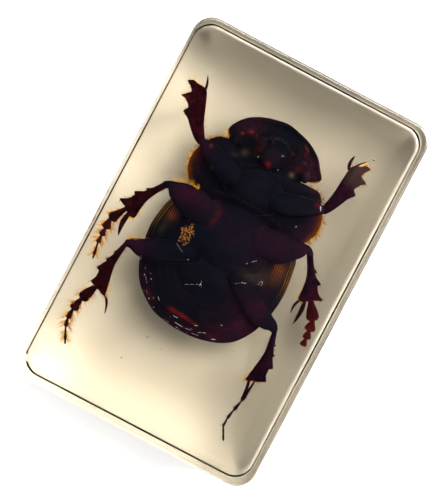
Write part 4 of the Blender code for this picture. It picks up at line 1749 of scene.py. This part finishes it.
@dataclass
class Tuft:
    """A patch of orange-yellow mould beside the breast plate: curled threads over small grains.

    lobes holds (depth, count, start) for the waves of its outline. The grains and threads lie up to pile
    over the shell at its middle. grain, squash and thread_length each hold the least and the most.
    """

    x: float = -6.0
    y: float = -0.3
    wide: float = 1.0
    long: float = 1.6
    lobes: tuple = ((0.16, 5, 0.0), (0.1, 9, 1.0))
    pile: float = 0.3
    grains: int = 100
    grain: tuple = (0.045, 0.09)
    squash: tuple = (0.7, 1.2)
    threads: int = 110
    thread: float = 0.018
    thread_length: tuple = (0.15, 0.45)
    thread_lift: float = 0.04
    lean_up: float = 0.5
    curl: float = 0.5

    def places(self, count: int, chance: np.random.Generator) -> tuple[Array, Array]:
        """Strews places over the lobed patch.

        Args:
            count: How many.
            chance: The random numbers.

        Returns:
            The places, and how far out in the patch each lies, from 0 to 1.
        """
        around = chance.uniform(0, 2 * math.pi, count)
        far = np.sqrt(chance.uniform(0, 1, count))
        reach = 1.0
        for depth, lobes, start in self.lobes:
            reach = reach + depth * np.sin(lobes * around + start)
        reach = far * reach
        right, ahead = self.wide * reach * np.cos(around), self.long * reach * np.sin(around)
        return np.column_stack([self.x + right, self.y + ahead]), far

    def grain_skin(self, ground: Ground, chance: np.random.Generator) -> Skin:
        """Makes the grains: small balls squashed at random, heaped higher at the middle.

        Args:
            ground: What they lie on.
            chance: The random numbers.

        Returns:
            One skin with every grain.
        """
        flat, far = self.places(self.grains, chance)
        lift = self.pile * (1 - far**2) * chance.uniform(0.1, 1, self.grains)
        middle = np.column_stack([flat, ground.heights(flat) + lift])
        ends = [(-0.3, 0.0, 0.0, 1.0, 1.0), (0.3, 0.0, 0.0, 1.0, 1.0)]
        ball = Tube(ends, rows=2, sides=8, cap_rows=2).skin()
        size = chance.uniform(*self.grain, (self.grains, 1, 1))
        squash = chance.uniform(*self.squash, (self.grains, 1, 3))
        points = middle[:, None] + ball.points[None] * size * squash
        step = (np.arange(self.grains) * len(ball.points))[:, None, None]
        return skin_of(points.reshape(-1, 3), ball.quads[None] + step, ball.triangles[None] + step)

    def thread_skin(self, ground: Ground, chance: np.random.Generator) -> Skin:
        """Makes the threads, each leaning and curling its own way.

        Args:
            ground: What they grow on.
            chance: The random numbers.

        Returns:
            One skin with every thread.
        """
        flat, far = self.places(self.threads, chance)
        rise = self.pile * (1 - far**2) * chance.uniform(0, 1, self.threads)
        roots = np.column_stack([flat, ground.heights(flat) + self.thread_lift + rise])
        ways = unit(chance.normal(0, 1.0, (self.threads, 3)) + UP * self.lean_up)
        lengths = chance.uniform(*self.thread_length, self.threads)
        curl = chance.normal(0, self.curl, (self.threads, 3))
        return strands(roots, ways, lengths, np.full(self.threads, self.thread), curl)

    def build(self, ground: Ground, finish: Material) -> None:
        """Makes the patch as one piece."""
        chance = np.random.default_rng(TUFT_SEED)
        beetle_piece("tuft", [self.grain_skin(ground, chance), self.thread_skin(ground, chance)], finish)


@dataclass
class AirFilms:
    """Films of air between the shell and the resin, in creases and at the rims of plates, coloured pale as
    painted glints of the light they reflect.

    films holds (points, half width) for each, the points being drawn places that the film runs through. Its
    width is the half width times numbers drawn from waver, so that it breaks up into beads, and its line
    strays by a share of it. The small films of the rear rim lie where the outline drawn in by one of insets
    is behind beads_y and left of beads_x.
    """

    films: tuple = (
        # Along the rear rim
        (((-1.36, -12.96), (0.0, -13.03)), 0.045), (((0.48, -13.02), (1.33, -12.88)), 0.03),
        (((1.53, -13.24), (2.71, -13.1)), 0.018), (((2.48, -12.67), (3.5, -12.2)), 0.028),
        (((4.75, -12.65), (5.39, -12.39)), 0.05), (((-0.82, -13.51), (-0.7, -13.5)), 0.05),
        (((5.02, -10.04), (5.12, -9.98)), 0.06), (((1.46, -11.94), (1.92, -11.76)), 0.03),
        (((-2.04, -12.12), (-1.38, -12.15)), 0.035), (((-5.46, -10.64), (-5.09, -11.06)), 0.03),
        (((-6.6, -11.5), (-6.5, -11.6)), 0.05), (((-5.38, -12.4), (-5.28, -12.46)), 0.05),
        (((-8.92, -8.6), (-8.8, -8.72)), 0.05), (((-7.72, -8.7), (-7.6, -8.78)), 0.05),
        (((-8.18, -8.02), (-8.1, -8.1)), 0.025),
        # A star with a fine line on the left, and dashes on the right
        (((-2.79, -7.11), (-1.9, -6.65), (-0.98, -6.11)), 0.012), (((-0.74, -5.98), (-0.6, -5.9)), 0.05),
        (((-0.67, -5.94), (-0.75, -5.37)), 0.014), (((-0.67, -5.94), (-0.8, -6.32)), 0.014),
        (((-0.67, -5.94), (-0.3, -6.29)), 0.014), (((3.49, -3.48), (4.11, -3.29), (4.5, -2.95)), 0.014),
        (((4.7, -2.85), (5.33, -2.65)), 0.035),
        (((7.13, -1.99), (7.2, -1.5), (7.45, -1.25), (7.6, -1.6), (7.52, -1.92)), 0.022),
        (((4.6, 0.66), (5.2, 1.13)), 0.016), (((4.0, 0.06), (4.1, 0.12)), 0.04),
        (((-6.73, -2.17), (-5.94, -2.6), (-5.36, -2.88)), 0.008), (((-4.12, -3.56), (-4.02, -3.5)), 0.035),
        # Head and fore body
        (((-1.95, 15.15), (-1.85, 15.3)), 0.03), (((1.2, 16.95), (1.45, 17.1)), 0.02),
        (((1.65, 14.75), (1.75, 15.0)), 0.03), (((8.1, 8.48), (8.2, 8.56)), 0.05),
        (((9.95, 12.95), (10.1, 12.7), (10.3, 12.35)), 0.06),
    )
    waver: tuple = (0.2, 1.3)
    stray: float = 0.3
    lift: float = 0.03
    flatness: float = 0.5
    film_points: int = 11
    beads: int = 14
    beads_y: float = -5.5
    beads_x: float = 2.0
    insets: tuple = (0.985, 0.955, 0.92)
    longest_bead: int = 3
    bead: tuple = (0.010, 0.024)

    def bead_films(self, chance: np.random.Generator) -> list:
        """Scatters small films along the left rear rim of the hind body.

        Args:
            chance: The random numbers.

        Returns:
            The films, as films holds them.
        """
        rim = smooth_loop(HIND_BODY, OUTLINE_POINTS)
        rim = rim[(rim[:, 1] < self.beads_y) & (rim[:, 0] < self.beads_x)]
        place = chance.integers(self.longest_bead, len(rim) - self.longest_bead, self.beads)
        inset = chance.choice(self.insets, self.beads)[:, None]
        reach = chance.integers(1, self.longest_bead + 1, self.beads)
        starts, ends = rim[place - reach] * inset, rim[place + reach] * inset
        halves = chance.uniform(*self.bead, self.beads)
        return [((start, end), half) for start, end, half in zip(starts, ends, halves)]

    def build(self, ground: Ground, finish: Material) -> None:
        """Makes the films as one piece.

        Args:
            ground: What they lie on.
            finish: Their material.
        """
        chance = np.random.default_rng(FILM_SEED)
        made = []
        for points, half in [*self.films, *self.bead_films(chance)]:
            flat = smooth_path(points, self.film_points)
            width = half * chance.uniform(*self.waver, len(flat))
            flat = flat + chance.normal(0, self.stray * half, flat.shape)
            height = ground.heights(flat) + self.lift
            stations = np.column_stack([flat, height, width, width * self.flatness])
            made.append(Tube(stations.tolist(), rows=16, sides=6, cap_rows=2).skin())
        beetle_piece("air_films", made, finish)


@dataclass
class Specks:
    """Small bubbles and motes in the resin: x, y, z and radius of each, in the block's own millimetres."""

    specks: tuple = (
        (-4.4, -17.4, 14.0, 0.085),
        (-1.7, -18.2, 12.5, 0.065),
        (-6.5, -22.2, 13.0, 0.09),
        (8.5, -13.0, 15.5, 0.07),
        (14.2, 23.8, 12.0, 0.13),
    )

    def build(self, finish: Material) -> None:
        """Makes the specks as one piece.

        Args:
            finish: Their material.
        """
        made = []
        for x, y, z, radius in self.specks:
            ends = [(x - radius, y, z, radius, radius), (x + radius, y, z, radius, radius)]
            made.append(Tube(ends, rows=5, sides=10).skin())
        piece_of("specks", joined(made), finish)


LEGS = [
    Leg(
        "fore_left", -1,
        thigh=[(-3.6, 10.4, 12.7, 1.6, 1.1), (-7.0, 11.8, 12.5, 1.7, 1.1), (-9.4, 12.9, 12.0, 1.1, 0.8),
               (-10.5, 13.3, 11.6, 0.6, 0.55)],
        inner=FORE_SHIN_INNER, outer=FORE_SHIN_OUTER, knee=(-10.55, 13.2, 11.6), ankle=(-13.7, 20.5, 12.0),
        spurs=[((-13.7, 19.9, 12.0), (-14.47, 22.62, 12.4), 0.2, 0.3)],
    ),
    Leg(
        "fore_right", 1,
        thigh=[(3.6, 10.2, 12.7, 1.6, 1.1), (7.0, 11.3, 12.5, 1.7, 1.1), (9.5, 12.3, 12.0, 1.1, 0.8),
               (10.6, 12.6, 11.6, 0.6, 0.55)],
        inner=FORE_SHIN_INNER, outer=FORE_SHIN_OUTER, knee=(10.6, 12.6, 11.6), ankle=(11.5, 20.9, 12.6),
        turn=24, faded=4.6,
        spurs=[((11.1, 19.9, 12.5), (11.05, 22.2, 12.9), 0.27, -0.4),
               ((11.7, 20.7, 12.6), (13.24, 22.4, 12.9), 0.11, -0.1)],
    ),
    Leg(
        "mid_left", -1,
        thigh=[(-3.4, 3.3, 13.2, 2.0, 1.2), (-7.4, 4.4, 13.1, 2.3, 1.15), (-10.2, 4.9, 12.8, 1.6, 0.9),
               (-11.6, 5.2, 12.5, 0.75, 0.65), (-12.4, 4.95, 12.2, 0.55, 0.5)],
        inner=MID_SHIN_INNER, outer=MID_SHIN_OUTER, knee=(-12.4, 4.8, 12.2), ankle=(-15.1, -1.3, 11.2),
        foot=[(-15.9, -0.9, 11.2), (-17.4, -3.5, 11.0), (-17.4, -5.1, 10.9), (-17.42, -6.35, 10.8),
              (-17.4, -7.6, 10.7), (-17.06, -9.55, 10.6)],
        foot_widths=(0.82, 0.8, 0.56, 0.46, 0.28), inner_down=40,
        foot_coat=((Coat.DOWN, 36, 1.05, 0.028), (Coat.LONG, 13, 1.2, 0.036)),
        spurs=[((-15.2, -1.3, 11.2), (-15.1, -5.3, 10.9), 0.42, 0.35)],
    ),
    Leg(
        "mid_right", 1,
        thigh=[(3.4, 3.5, 13.2, 2.0, 1.2), (7.4, 4.6, 13.1, 2.6, 1.15), (10.0, 5.6, 12.8, 1.5, 0.9),
               (11.3, 6.15, 12.5, 0.7, 0.65), (12.0, 5.8, 12.2, 0.5, 0.5)],
        inner=MID_SHIN_INNER, outer=MID_SHIN_OUTER, knee=(12.0, 5.6, 12.2), ankle=(14.5, -0.8, 11.2),
        foot=[(15.4, -0.4, 11.2), (17.1, -2.95, 11.0), (17.3, -4.55, 10.9), (17.45, -5.85, 10.8),
              (17.5, -7.05, 10.7)],
        foot_widths=(0.92, 0.78, 0.62, 0.5), clawed=False,
        foot_coat=((Coat.DOWN, 9, 0.55, 0.026), (Coat.DARK, 5, 0.5, 0.03)), joint_form=ROUND_JOINT,
        spurs=[((14.6, -0.8, 11.2), (14.6, -4.9, 10.9), 0.34, -0.2),
               ((14.0, -0.9, 11.2), (13.6, -3.6, 10.9), 0.2, 0.5)],
    ),
    Leg(
        "hind_left", -1,
        thigh=[(-3.6, -2.4, 12.8, 1.4, 1.1), (-7.6, -4.0, 12.7, 1.8, 1.1), (-10.8, -5.1, 12.3, 1.5, 0.9),
               (-12.5, -5.3, 11.9, 0.95, 0.7), (-13.35, -5.6, 11.6, 0.6, 0.5)],
        inner=HIND_SHIN_INNER, outer=HIND_SHIN_OUTER, knee=(-13.35, -5.6, 11.6), ankle=(-13.7, -14.0, 10.8),
        foot=[(-14.5, -13.5, 10.8), (-15.65, -16.4, 10.7), (-16.05, -18.4, 10.6), (-16.1, -19.95, 10.5),
              (-15.8, -21.2, 10.4), (-14.9, -23.1, 10.3)],
        foot_widths=(0.84, 0.7, 0.5, 0.38, 0.24), inner_down=40, joint_form=ROUND_JOINT,
        spurs=[((-13.1, -13.9, 10.8), (-11.5, -16.9, 10.5), 0.2, -0.5)],
    ),
    Leg(
        "hind_right", 1,
        thigh=[(3.6, -2.6, 12.8, 1.4, 1.1), (7.4, -4.9, 12.7, 1.8, 1.1), (10.4, -6.2, 12.3, 1.4, 0.9),
               (11.8, -6.5, 11.9, 0.95, 0.7), (12.5, -6.9, 11.6, 0.6, 0.5)],
        inner=HIND_SHIN_INNER, outer=HIND_SHIN_OUTER, knee=(12.5, -6.9, 11.6), ankle=(13.2, -15.4, 10.8),
        turn=10,
        foot=[(13.6, -15.0, 10.8), (13.2, -18.8, 10.7), (12.8, -20.5, 10.6), (12.5, -22.1, 10.5),
              (12.5, -23.5, 10.4), (13.3, -25.0, 10.3)],
        foot_widths=(0.3, 0.28, 0.24, 0.2, 0.15), outer_down=40, foot_coat=((Coat.DARK, 5, 0.5, 0.03),),
        spurs=[((12.5, -14.9, 10.8), (12.9, -18.8, 10.5), 0.24, -0.3)],
    ),
]


@dataclass
class Studio:
    """A plain white floor, wide soft lights, a room with a bright belt and the camera.

    Lengths are in millimetres. lamps holds the name, place, size and power of each light, and room how
    bright the room is at each height, given as the sine of its angle over the floor. camera_turn turns the
    picture about the camera's own axis, in degrees.
    """

    floor_size: float = 3000.0
    floor_gap: float = 0.06
    lamps: tuple = (
        ("key", (600.0, 600.0, 420.0), 650.0, 46.0),
        ("high", (330.0, 340.0, 850.0), 550.0, 7.9),
        ("north", (0.0, 480.0, 850.0), 550.0, 11.0),
        ("south", (0.0, -480.0, 850.0), 550.0, 3.5),
        ("low_south", (0.0, -850.0, 420.0), 650.0, 5.0),
        ("west", (-850.0, 0.0, 420.0), 650.0, 2.1),
    )
    lamp_colour: tuple = (1.0, 0.985, 0.96)
    room: tuple = (
        (0.0, 0.05), (0.24, 0.05), (0.26, 2.6), (0.49, 2.6), (0.51, 0.05), (0.74, 0.05), (0.76, 0.1),
        (0.96, 0.1), (0.98, 0.02),
    )
    exposure: float = 0.0
    camera_place: tuple = (-7.5, 2.4, 320.0)
    camera_target: tuple = (-0.29, 0.07, 10.0)
    camera_turn: float = -27.77
    lens: float = 139.8
    sensor: float = 36.0
    nearest: float = 10.0

    def floor(self) -> None:
        """Lays the floor just under the block."""
        half, low = self.floor_size / 2 * MM, -self.floor_gap * MM
        mesh = bpy.data.meshes.new("floor")
        corners = [(-half, -half, low), (half, -half, low), (half, half, low), (-half, half, low)]
        mesh.from_pydata(corners, [], [(0, 1, 2, 3)])
        paper = GrainyFinish("floor_paper", (0.87, 0.87, 0.87), (0.85, 0.85, 0.85), 0.02, roughness=0.9)
        mesh.materials.append(paper.build())
        floor = bpy.data.objects.new("floor", mesh)
        bpy.context.scene.collection.objects.link(floor)

    def lights(self) -> None:
        """Hangs the lamps, each turned to the block."""
        for name, place, size, power in self.lamps:
            lamp = bpy.data.lights.new(name, "AREA")
            lamp.shape = "SQUARE"
            lamp.size = size * MM
            lamp.energy = power
            lamp.color = self.lamp_colour
            hung = bpy.data.objects.new(name, lamp)
            bpy.context.scene.collection.objects.link(hung)
            hung.location = Vector(place) * MM
            hung.rotation_euler = (-hung.location).to_track_quat("-Z", "Y").to_euler()

    def walls(self) -> None:
        """Lights the room by its belt, dark at the floor and behind the camera."""
        world = bpy.data.worlds.new("room")
        world.use_nodes = True
        sheet = NodeSheet(world.node_tree)
        height = sheet.add("SeparateXYZ", {"Vector": sheet.add("TexCoord").outputs["Generated"]})
        most = max(light for _, light in self.room)
        ramp = sheet.add("ValToRGB", {"Fac": height.outputs["Z"]})
        stops = ramp.color_ramp.elements
        for number, (place, light) in enumerate(self.room):
            stop = stops[number] if number < 2 else stops.new(place)
            stop.position = place
            stop.color = (light / most, light / most, light / most, 1.0)
        background = world.node_tree.nodes["Background"]
        background.inputs["Strength"].default_value = most
        sheet.link(ramp.outputs["Color"], background.inputs["Color"])
        bpy.context.scene.world = world

    def camera(self) -> None:
        """Sets the camera over the block, turned as the photograph is, and how its picture is made."""
        place, target = Vector(self.camera_place) * MM, Vector(self.camera_target) * MM
        axis = (target - place).normalized()
        up = (Vector((0, 1, 0)) - axis * axis.y).normalized()
        up = Matrix.Rotation(math.radians(self.camera_turn), 3, axis) @ up
        right = axis.cross(up)
        lens = bpy.data.cameras.new("camera")
        lens.lens = self.lens
        lens.sensor_width = self.sensor
        lens.clip_start = self.nearest * MM
        camera = bpy.data.objects.new("camera", lens)
        bpy.context.scene.collection.objects.link(camera)
        turned = Matrix((right, up, -axis)).transposed().to_quaternion()
        camera.matrix_world = Matrix.LocRotScale(place, turned, None)
        scene = bpy.context.scene
        scene.camera = camera
        scene.view_settings.view_transform = "Standard"
        scene.view_settings.exposure = self.exposure
        scene.cycles.blur_glossy = 0.0


@dataclass
class ResinBlock:
    """The clear casting: a block with round corners, and small rounds along its top and bottom edges."""

    corner_radius: float = 3.3
    top_round: float = 0.5
    bottom_round: float = 0.6
    corner_steps: int = 14
    bottom_rings: int = 8
    top_rings: int = 14
    flat_rim: float = 0.1

    def ring(self, inset: float, height: float) -> Array:
        """Draws the block's outline.

        Args:
            inset: How far it is drawn in, in millimetres.
            height: Its height.

        Returns:
            Its points, in order around.
        """
        half = np.array([BLOCK_WIDTH / 2 - inset, BLOCK_LENGTH / 2 - inset])
        radius = self.corner_radius - inset
        points = []
        for quarter, signs in enumerate(((1, 1), (-1, 1), (-1, -1), (1, -1))):
            angle = np.radians(np.linspace(0, 90, self.corner_steps + 1) + quarter * 90)
            points.append(signs * (half - radius) + radius * np.column_stack([np.cos(angle), np.sin(angle)]))
        flat = np.concatenate(points)
        return np.column_stack([flat, np.full(len(flat), height)])

    def skin(self) -> Skin:
        """Makes the block's surface from rings, from the bottom to the top.

        Returns:
            The surface. A flat ring inside each end keeps the shading of the rounds off the flat faces.
        """
        low, top = self.bottom_round, self.top_round
        rings = [self.ring(low + self.flat_rim, 0.0)]
        for angle in np.radians(np.linspace(0, 90, self.bottom_rings)):
            rings.append(self.ring(low * (1 - math.sin(angle)), low * (1 - math.cos(angle))))
        for angle in np.radians(np.linspace(0, 90, self.top_rings)):
            rings.append(self.ring(top * (1 - math.cos(angle)), BLOCK_HEIGHT - top * (1 - math.sin(angle))))
        rings.append(self.ring(top + self.flat_rim, BLOCK_HEIGHT))
        return loft(np.array(rings))

    def build(self, finish: Material) -> None:
        """Makes the block in place of its two packed halves."""
        block = piece_of("resin_block", self.skin(), finish, crease=30)
        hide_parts("resin_lower", "resin_upper")


def main() -> None:
    """Builds the scene."""
    logging.basicConfig(level=logging.INFO, format="%(name)s: %(message)s")
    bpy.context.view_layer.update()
    studio = Studio()
    studio.floor()
    studio.lights()
    studio.walls()
    studio.camera()
    ResinBlock().build(ResinFinish().build())

    body = ShellFinish("body_shell").build()
    thigh = ShellFinish("thigh_shell", purple_share=0.1, purple=(0.0210, 0.0036, 0.0130)).build()
    limb = ShellFinish("leg_shell", purple_share=0.9, blotch=0.0012)
    left_limb = replace(limb, dark=(0.0085, 0.0010, 0.0018), purple=(0.0310, 0.0028, 0.0085)).build()
    limb = replace(limb, name="right_leg_shell")
    right_limb = replace(limb, dark=(0.0060, 0.0018, 0.0066), purple=(0.0210, 0.0026, 0.0120)).build()
    wing = ShellFinish("wing_shell", amber=(0.012, 0.005, 0.0025)).build()
    eye = ShellFinish("eye_shell", roughness=0.15, pit_spacing=0.00008, gloss=0.5).build()
    skins = [WingCases().build(wing), *Belly().build(body), *Breast().build(body), *ForeBody().build(body)]
    skins += Head().build(body, eye)
    for leg in LEGS:
        skins += leg.build(thigh, left_limb if leg.side < 0 else right_limb)
    ground = Ground(skins)
    finishes = {
        # The golden hairs' bright colour is partly their own and partly a painted glow of light shining
        # through them
        Coat.DOWN: GrainyFinish("golden_hair", (0.95, 0.56, 0.06), (0.72, 0.30, 0.012), 0.0006).build(),
        Coat.LONG: GrainyFinish("long_hair", (0.34, 0.12, 0.012), (0.17, 0.055, 0.006), 0.0006).build(),
        Coat.DARK: GrainyFinish("dark_hair", (0.004, 0.002, 0.002), (0.002, 0.0015, 0.0015), 0.0006).build(),
    }
    Hair().build(LEGS, finishes)
    Tuft().build(ground, GrainyFinish("mould", (0.66, 0.29, 0.05), (0.12, 0.034, 0.005), 0.00013).build())
    # The air films' pale diffuse colour is a painted glint, standing in for the light that they reflect
    film = GrainyFinish("painted_glint_film", (0.80, 0.80, 0.82), (0.55, 0.55, 0.58), 0.0008, roughness=0.3).build()
    AirFilms().build(ground, film)
    Specks().build(GrainyFinish("mote", (0.30, 0.25, 0.18), (0.16, 0.12, 0.08), 0.0003).build())


if __name__ == "__main__":
    main()
